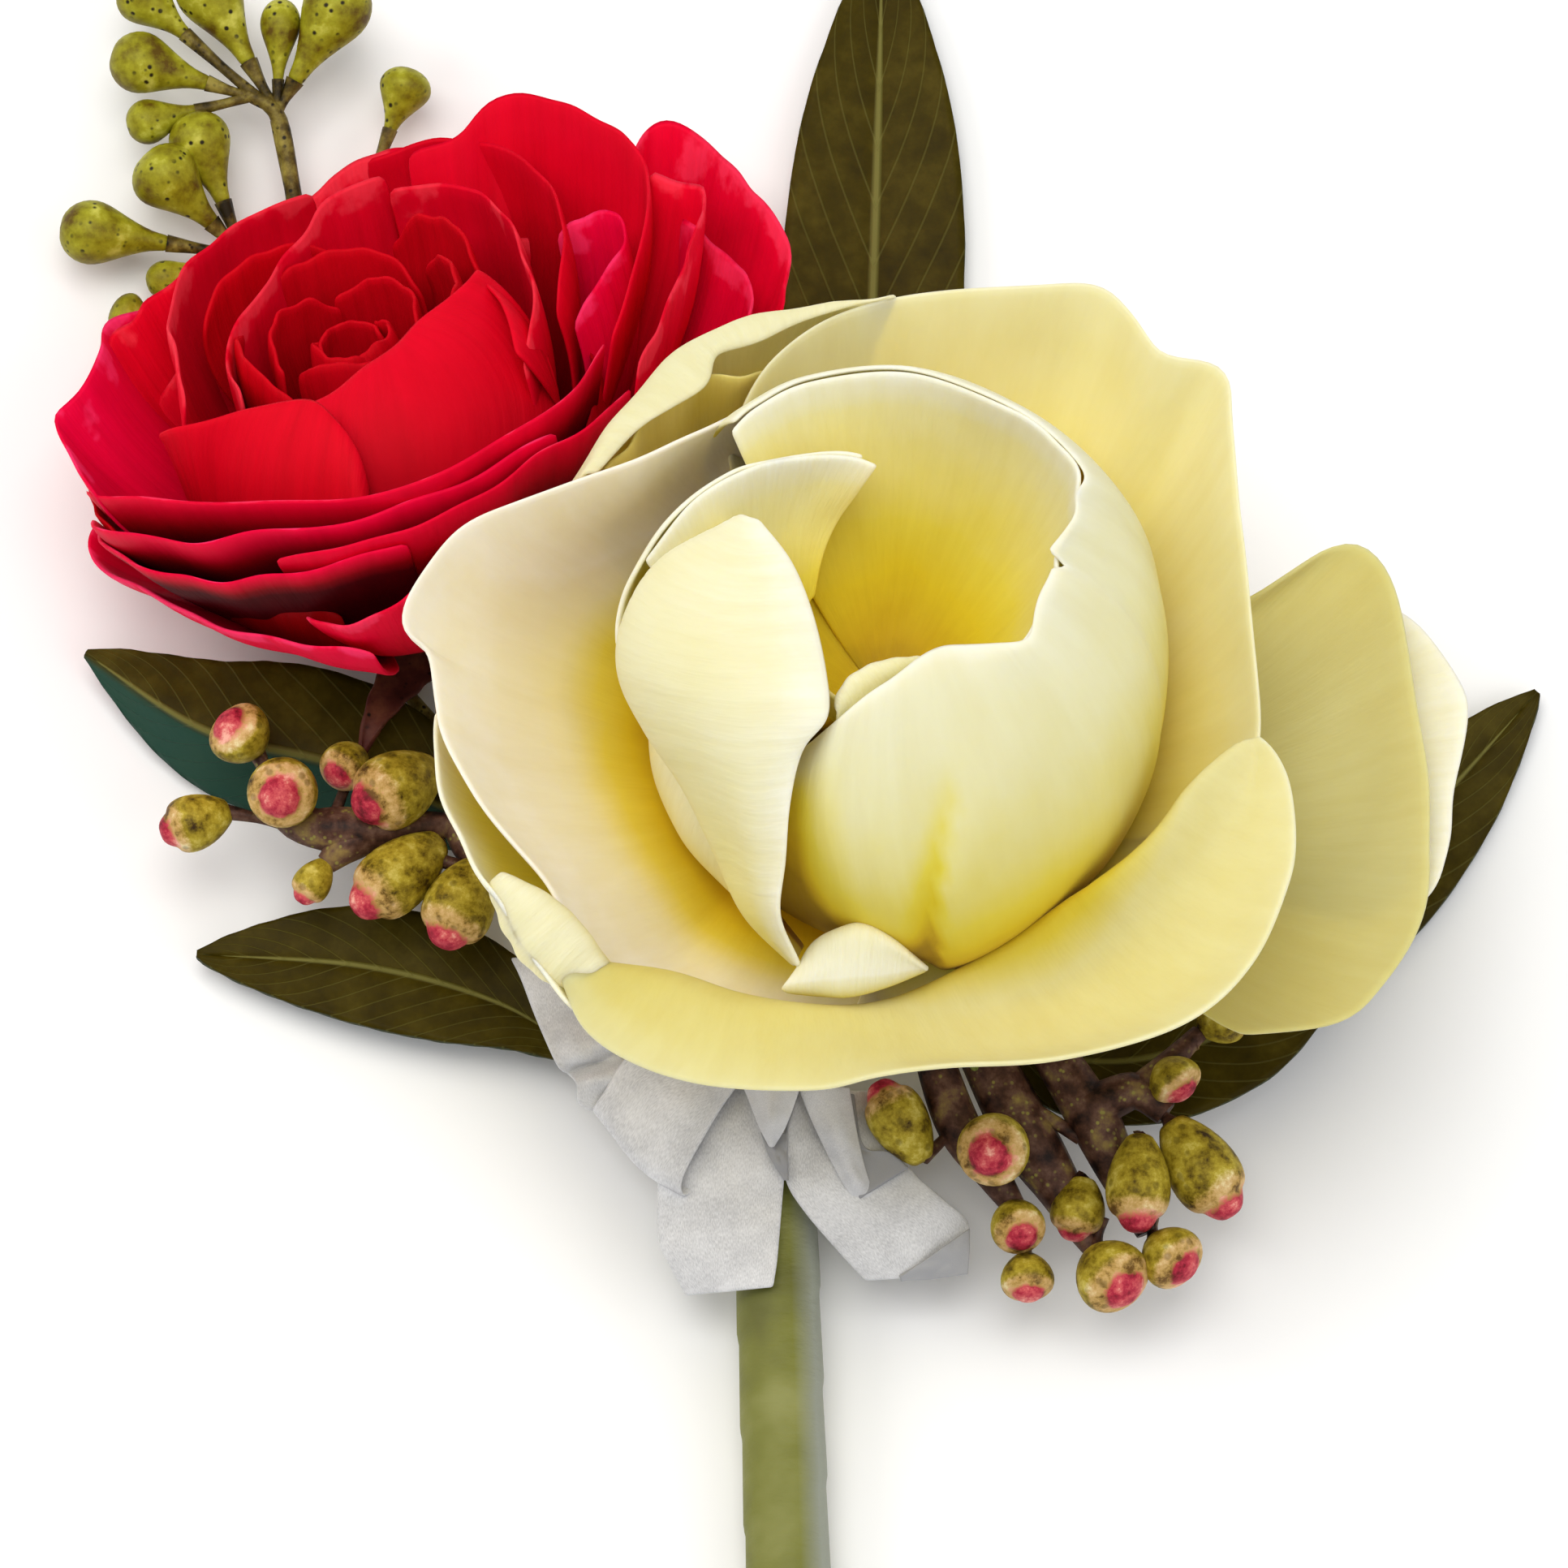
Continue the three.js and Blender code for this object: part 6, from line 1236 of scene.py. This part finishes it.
sprigs = {
    "sprig_upper": {
        "turn": 225, "bud": "pear", "slot": "bud_green",
        "main": [(-8, 13.4, 1.9), (-18.5, 22.6, 1.5), (-31, 37, 0.9), (-35.4, 55, 0.85), (-36.6, 68, 3),
                 (-38.8, 79, 5.6)],
        "twigs": [
            [(-36.6, 67, 2.8), (-37.6, 74, 4.6), (-38.8, 79.4, 5.8), (-41.2, 81, 6)],
            [(-35.4, 55, 0.85), (-38.6, 63, 1.3), (-41.6, 68.6, 3.6)],
            [(-35.2, 54, 0.85), (-32.6, 64, 1.3), (-31.4, 75, 3.4)],
            [(-35.4, 57, 1), (-43, 60, 1.4), (-47.6, 62.2, 2.6)],
        ],
        "buds": [
            {"from": (-38.8, 79.6, 5.8), "at": (-34.6, 86.8, 7.4), "radius": 2.9, "length": 10},
            {"from": (-38.8, 79.6, 5.8), "at": (-38.6, 86, 6.6), "radius": 1.7, "length": 7},
            {"from": (-39, 80, 5.8), "at": (-43.8, 88.6, 6.6), "radius": 2.8, "length": 10},
            {"from": (-40.4, 80.8, 6), "at": (-49, 88.6, 6.4), "radius": 2.3, "length": 7},
            {"from": (-40.8, 80.8, 6), "at": (-48.8, 83.2, 6.6), "radius": 2.6, "length": 8.4},
            {"from": (-41, 80.8, 6), "at": (-48.4, 79, 5.6), "radius": 1.9, "length": 6},
            {"from": (-41.4, 68.4, 3.6), "at": (-44.6, 76.6, 5.2), "radius": 2.6, "length": 8},
            {"from": (-41.4, 68.4, 3.6), "at": (-47, 73.6, 5.8), "radius": 2.9, "length": 8},
            {"from": (-41.4, 68.4, 3.6), "at": (-52.4, 69.8, 4.4), "radius": 2.7, "length": 9},
            {"from": (-41.4, 68.2, 3.6), "at": (-47, 66.6, 3.2), "radius": 1.6, "length": 5.4},
            {"from": (-31.4, 74.6, 3.4), "at": (-28.9, 81.6, 4.4), "radius": 2.2, "length": 5.6},
            {"from": (-47.4, 62, 2.6), "at": (-50.2, 63.4, 2.8), "radius": 1.9, "length": 4.4},
        ]},
    "sprig_lower_left": {
        "turn": 120, "bud": "cap", "slot": "bud_pink",
        "main": [(-6, 12.2, 8.8), (-16, 13.8, 10), (-26, 16.4, 10), (-36, 20.4, 9.6)],
        "twigs": [
            [(-19.1, 18.3, 9.4, 0.8), (-24.1, 19.1, 9.5, 1), (-29.6, 18.8, 9.5, 1.7),
             (-33.2, 18.8, 9.4, 1.9), (-36.9, 19.5, 9.4, 1.1), (-38.6, 23, 9.2, 0.7)],
            [(-29.6, 18.8, 9.5, 1.4), (-32.2, 17.7, 9.4, 1.5), (-34, 16.1, 9.2, 0.9)],
            [(-24.1, 19.1, 9.5, 1), (-23.2, 17.3, 9.6, 1.1), (-22.2, 15.6, 9.8, 0.8)],
        ],
        "buds": [
            {"from": (-36.9, 19.5, 9.8), "at": (-40.9, 26.2, 11.3), "radius": 2.6, "length": 4.4,
             "lie": (-0.57, 0.38, 0.73)},
            {"from": (-35.9, 19.5, 9.8), "at": (-37.3, 20.7, 12.8), "radius": 2.85, "length": 6.2,
             "lie": (-0.09, -0.49, 0.87)},
            {"from": (-36.9, 19, 9.8), "at": (-44.7, 19.3, 9.2), "radius": 2.3, "length": 5.8,
             "lie": (-0.94, -0.34, 0)},
            {"from": (-29.6, 19.2, 9.8), "at": (-29.2, 21, 11.8), "radius": 3.1, "length": 8,
             "lie": (-0.73, -0.58, 0.38)},
            {"from": (-33.5, 19.5, 9.8), "at": (-32.7, 23.3, 11), "radius": 2, "length": 4.3,
             "lie": (-0.41, -0.72, 0.56)},
            {"from": (-33.2, 17.6, 9.6), "at": (-35.2, 14.3, 9.2), "radius": 1.55, "length": 3.9,
             "lie": (-0.54, -0.83, -0.15)},
            {"from": (-25.4, 18.2, 9.6), "at": (-29.1, 14.2, 10.3), "radius": 2.85, "length": 9.1,
             "lie": (-0.73, -0.67, 0.09)},
            {"from": (-22.8, 16.3, 9.6), "at": (-23.9, 11.8, 10.2), "radius": 2.9, "length": 7.6,
             "lie": (-0.38, -0.93, 0.05)},
        ]},
    "sprig_lower_right": {
        "turn": 52, "bud": "cap", "slot": "bud_pink",
        "main": [(6.4, 8.6, 10.2), (11.6, 4.2, 11.4), (17.4, -1.6, 10.4), (24, -6, 9.4)],
        "twigs": [
            [(12.1, 2.3, 10.6, 1.4), (14.6, -4.9, 9.6, 1.7), (17.4, -8.9, 8.8, 1.3), (19.3, -11.7, 8.3, 0.8)],
            [(15.6, 2.6, 10, 1.8), (19.7, -5.3, 8.8, 2.3), (22.4, -9.6, 8, 1.8), (24.2, -13, 7.6, 1.1),
             (25.1, -14.7, 7.8, 0.7)],
            [(21.1, 1.9, 10.4, 1.6), (24.9, -4.3, 9.6, 2), (26.7, -8.2, 8.8, 1.6), (29, -13.2, 8.2, 0.8)],
            [(24.9, -3.7, 10, 1.8), (28.2, -2.7, 11, 1.5), (30.5, -4.5, 11, 1)],
            [(28.2, -2.7, 11, 1.2), (30.7, -0.6, 11.4, 1), (33.1, 1.9, 11.2, 0.7)],
        ],
        "buds": [
            {"from": (18.3, -3.5, 10.4), "at": (17.2, -8.1, 13.4), "radius": 2.9, "length": 6.6,
             "lie": (-0.17, -0.5, 0.85)},
            {"from": (14.6, -4.7, 10), "at": (9.8, -4.3, 10.5), "radius": 2.4, "length": 7.3,
             "lie": (-0.51, 0.84, 0.17)},
            {"from": (19.7, -11.2, 8.4), "at": (19.2, -13.3, 9.9), "radius": 2.2, "length": 4.5,
             "lie": (0.2, -0.75, 0.63)},
            {"from": (19.7, -11.9, 8), "at": (19.9, -17.1, 8.4), "radius": 2.15, "length": 3.9,
             "lie": (0.08, -0.96, 0.26)},
            {"from": (25.7, -12, 8.6), "at": (26.5, -17.2, 9.6), "radius": 3, "length": 5.5,
             "lie": (0.5, -0.72, 0.48)},
            {"from": (29.5, -12, 8.4), "at": (31.1, -15.6, 9.3), "radius": 2.6, "length": 4.5,
             "lie": (0.61, -0.68, 0.4)},
            {"from": (28.2, -6.3, 11), "at": (28.3, -10.9, 11.2), "radius": 2.6, "length": 7.8,
             "lie": (-0.04, -1, -0.05)},
            {"from": (30.1, -4.3, 11), "at": (33.7, -9.4, 10.2), "radius": 2.9, "length": 8.9,
             "lie": (0.55, -0.82, -0.16)},
            {"from": (23.9, -8.9, 9), "at": (23.7, -11.9, 8.5), "radius": 2.2, "length": 5.1,
             "lie": (-0.2, -0.97, -0.16)},
            {"from": (29.5, -1.9, 11.6), "at": (31.3, -2.4, 12.2), "radius": 2.2, "length": 3.5,
             "lie": (0.55, -0.82, 0.17)},
            {"from": (32.6, 0.7, 11.4), "at": (35.1, 3.1, 11.7), "radius": 2.2, "length": 3.7,
             "lie": (0.86, 0.46, 0.21)},
        ]},
}


def budMaster(name, profile):
    master = turnedForm(name, profile, 16)
    heights = np.array([v.co.z for v in master.data.vertices])
    setAttribute(master, "along", heights)
    applyModifier(master, "SUBSURF", levels=1, render_levels=1)
    return master


def makeSprig(name, sprig, master, budSkin, twigSkin):
    budPieces, twigPieces = [], []
    for bud in sprig["buds"]:
        start, middle = Vector(bud["from"]), Vector(bud["at"])
        direction = Vector(bud.get("lie", middle - start)).normalized()
        length = bud.get("length", 2.1 * bud["radius"])
        root = middle - direction * 0.6 * length
        copy = master.copy()
        copy.data = master.data.copy()
        bpy.context.scene.collection.objects.link(copy)
        copy.data.transform(turnTo(direction, root, (bud["radius"], bud["radius"], length)))
        budPieces.append(copy)
        middleway = (start + root) / 2 + Vector((0, 0, -0.15))
        twigPieces.append(tube("stalk", [start, middleway, root + direction * 0.4],
                               [0.5, 0.42, 0.24 * bud["radius"] + 0.1], 10, 5))
    main = [*bound(sprig["turn"]), *sprig["main"]]
    twigPieces.append(tube("twig", main, [0.55] * len(main), 12, 7))
    for twig in sprig["twigs"]:
        # a fourth number is the twig's radius there
        radii = [point[3] for point in twig] if len(twig[0]) == 4 else [0.75, *[0.65] * (len(twig) - 2), 0.5]
        twigPieces.append(tube("twig", [point[:3] for point in twig], radii, 16, 6))
    buds = joinPieces(pieceName(name, "Buds"), budPieces, budSkin)
    stand(buds, name, slot=sprig["slot"])
    twigs = joinPieces(pieceName(name, "Twigs"), twigPieces, twigSkin)
    stand(twigs, name, slot=sprig["slot"])


def makeSprigs():
    masters = {"pear": budMaster("pearBud", pearProfile), "cap": budMaster("cappedBud", capProfile)}
    pearSkin = plantMaterial("yellowGreenBud", [(0.34, "#5a4406"), (0.7, "#c4c050"), (0.46, "#827a10"),
                            (0.58, "#9c9820")],
                             patch=420, speck="#241c04", speckSize=0.8, gloss=0.46)
    oliveTwig = plantMaterial("oliveTwig", [(0.36, "#241c06"), (0.66, "#94863c"), (0.5, "#5c4c1c")],
                              patch=500, speck="#1c1404")
    purpleTwig = plantMaterial("purpleBrownTwig", [(0.36, "#1e100c"), (0.68, "#8a7440"), (0.48, "#4c3024"),
                              (0.56, "#64483a")],
                               patch=420, speck="#8c8440", speckSize=0.6)
    capSkin = cappedBudMaterial()
    for name, sprig in sprigs.items():
        pear = sprig["bud"] == "pear"
        makeSprig(name, sprig, masters[sprig["bud"]], pearSkin if pear else capSkin,
                  oliveTwig if pear else purpleTwig)
    for master in masters.values():
        bpy.data.objects.remove(master)


makeSprigs()
print("sprigs made")


bow = {
    "knotAlong": 43.6, "bandRadius": 3.75, "bandHalfWidth": 4.3, "thickness": 0.3,
    # each layer of ribbon is laid smoothly over three lines that run along it, with a value for how much
    # painted shade darkens it where it lies under another layer and where it is turned over
    "layers": [
        # left tail
        {"ribs": [[(-7.6, -1, 9.4), (-8.1, -5.7, 9), (-8.4, -9.5, 8.2), (-8.3, -13.4, 7.2),
                   (-7.6, -15.1, 6.8), (-6.2, -17.6, 6.2)],
                  [(-2.8, -1.8, 10), (-3.2, -5.9, 9.7), (-3.5, -9.8, 9.2), (-3.5, -13.8, 8.6),
                   (-3.4, -15.8, 8.2), (-2.8, -17.7, 7.8)],
                  [(1.7, -2.8, 10.2), (1.6, -6.3, 9.9), (1.3, -9.8, 9.4), (1, -13.5, 9.1),
                   (0.8, -15.7, 8.9), (0.5, -17.6, 8.7)]],
         "ribbonShade": 0.0},
        # right tail
        {"ribs": [[(2.4, -2.4, 10.6), (1.4, -6.1, 10.3), (1.4, -9.3, 9.8), (2.8, -11.7, 9.2),
                   (5.3, -14.5, 8.2), (7.5, -16.7, 7.2)],
                  [(4.7, -2.4, 10.4), (4.5, -6, 10.1), (5.9, -9.2, 9.8), (8.1, -11.7, 9.2),
                   (9.9, -13.9, 8.4), (11.4, -16.4, 7.2)],
                  [(7.8, -2.2, 9.4), (9.1, -5.4, 9), (11.3, -8.5, 8.6), (13.7, -10.6, 8.2),
                   (15.5, -12.2, 7.2), (15.3, -15.7, 6.2)]],
         "ribbonShade": 0.0},
        # second loop
        {"ribs": [[(-19.8, 9.1, 7.4), (-19, 7.3, 7.8), (-17.7, 3.7, 8.4), (-16.1, -0.1, 9.1),
                   (-15.4, -0.4, 8.2), (-14.6, -1.7, 9.4), (-14.5, -3, 9), (-13.6, -3.6, 8.6)],
                  [(-15.9, 9.1, 8.4), (-15.2, 7, 8.8), (-14.5, 4, 9.2), (-14.1, 0.5, 9.8),
                   (-13.6, 0.2, 8.7), (-12.7, -1.3, 10), (-12.2, -2.3, 9.3), (-11.5, -3.2, 9)],
                  [(-10.9, 9.3, 9), (-10.4, 6.9, 9.4), (-10, 4.2, 9.6), (-12, 1.3, 10.2), (-11.4, 0.8, 9.1),
                   (-10.2, -0.6, 10.3), (-9, -1.3, 9.6), (-7.1, -2.3, 9.5)]],
         "ribbonShade": 0.1},
        # left loop
        {"ribs": [[(-1.9, -0.1, 9.8), (-7.2, 0.9, 8.8), (-10.5, 0.7, 8.4), (-12.7, -2.4, 8.5),
                   (-13.5, -3.6, 8.9), (-12.5, -2.4, 9.8), (-10.6, 0.4, 10.4), (-7.1, 1.1, 10.9),
                   (-2.2, 0.1, 11.3)],
                  [(-1.7, -1.9, 9.8), (-5.1, -4.3, 9), (-8.1, -6.8, 8.4), (-9.5, -7.9, 8.5),
                   (-10, -7.9, 8.9), (-9.5, -7.5, 9.7), (-7.1, -4.3, 10.9), (-4.8, -2.5, 11.3),
                   (-2, -1.4, 11.4)],
                  [(-1.4, -2.7, 9.8), (-2.3, -4.8, 9.4), (-4, -8.1, 8.8), (-5.4, -9.7, 8.7),
                   (-6.3, -10.5, 9), (-6.4, -9.3, 9.8), (-4.8, -6.3, 10.6), (-3.3, -3.8, 11),
                   (-1.9, -1.9, 11.2)]],
         "ribbonShade": 0.0},
        # right loop below
        {"ribs": [[(3.4, -2.5, 10.3), (5.3, -7.3, 10), (7.1, -10.9, 9.6)],
                  [(6.7, -2.7, 10.3), (7.4, -6.7, 10.1), (9.4, -7.2, 9.9), (10.9, -8.4, 9.7)]],
         "ribbonShade": 1.0},
        # right loop
        {"ribs": [[(2.4, -2.7, 11.6), (3.9, -6.1, 10.9), (5.8, -9.7, 10), (6.9, -10.9, 9.3)],
                  [(4.3, -2.6, 12), (5.5, -6.3, 11.4), (6.8, -9.5, 10.4), (7.6, -10.8, 9.3)],
                  [(6.3, -2.4, 11), (6.9, -6, 10.6), (7.5, -8.6, 10), (8.2, -10.5, 9.3)]],
         "ribbonShade": 0.06},
        # corner turned over
        {"ribs": [[(10.1, -16.5, 7.8), (12.7, -14.8, 8.2), (15.5, -12.7, 8)],
                  [(10.2, -16.6, 7.6), (12.8, -15.7, 7.8), (15.5, -14.4, 7.6)],
                  [(10.2, -16.7, 7.4), (12.8, -16.5, 7.2), (15.4, -16.1, 7)]],
         "ribbonShade": 0.8},
        # knot below
        {"ribs": [[(-0.5, -5.8, 10.4), (0.2, -7.7, 10.4), (1.4, -9.5, 10.1)],
                  [(1.6, -6, 10.8), (1.6, -7.8, 10.7), (1.6, -9.6, 10.3)]],
         "ribbonShade": 0.9},
        # knot
        {"ribs": [[(-2.8, -1, 11.4), (-1.9, -2.4, 11.8), (-0.7, -5.4, 11.6), (0.3, -7.1, 11)],
                  [(-0, -1, 12.4), (0.1, -2.6, 12.6), (0.3, -5.6, 12.2), (0.4, -7.2, 11.2)],
                  [(2.8, -1.2, 11.8), (2.5, -2.9, 12), (1.4, -5.8, 11.6), (0.4, -7.1, 11)]],
         "ribbonShade": 0.12},
    ],
    # 10 mm ribbon; its length is the middle lines of the tails, loops, knot and band laid end to end
    "flat": (0.01, 0.12),
}


def makeBow():
    along, across = 41, 19  # points of a layer
    pieces = []
    for index, layer in enumerate(bow["layers"]):
        ribs = np.array([smoothLine(rib, along) for rib in layer["ribs"]])
        points = np.stack([smoothLine(ribs[:, row], across) for row in range(along)])
        v, u = np.linspace(0, 1, along)[:, None], np.linspace(-1, 1, across)[None, :]
        # soft dents across the ribbon, and edges that do not run quite true
        dent = roughness(np.stack([(u * 1.3 + 0 * v).ravel(), (v * 4 + 0 * u).ravel(), 0 * (u + v).ravel()], 1),
                         1, index + 2).reshape(along, across)
        points[:, :, 2] += 0.22 * dent * np.sin(math.pi * v)
        piece = shapedGrid(f"ribbon{index}", points, bow["thickness"], 1)
        setAttribute(piece, "ribbonShade", layer["ribbonShade"])
        pieces.append(piece)
    # the band round the stem
    centre = np.array(inSleeve(bow["knotAlong"], 0, 0))
    forward = np.array(sleeveAxis.normalized())
    angle = np.linspace(0, 2 * math.pi, along)[None, :]
    wide = np.linspace(-1, 1, 9)[:, None]
    radius = bow["bandRadius"] + 0.12 * np.cos(wide * 6)
    lift = np.cross((1, 0, 0), forward)
    band = centre + (forward * bow["bandHalfWidth"])[None, None, :] * wide[:, :, None] \
        + (radius + 0 * angle)[:, :, None] * (np.cos(angle)[:, :, None] * np.array((1, 0, 0))
                                              + np.sin(angle)[:, :, None] * lift)
    piece = shapedGrid("band", band, bow["thickness"], 0)
    # the band round the stem gets painted shade too
    setAttribute(piece, "ribbonShade", 0.3)
    pieces.append(piece)
    ribbon = joinPieces("satinBow", pieces, satinMaterial())
    stand(ribbon, "ribbon_bow", slot="satin_ribbon")


makeBow()
print("bow made")
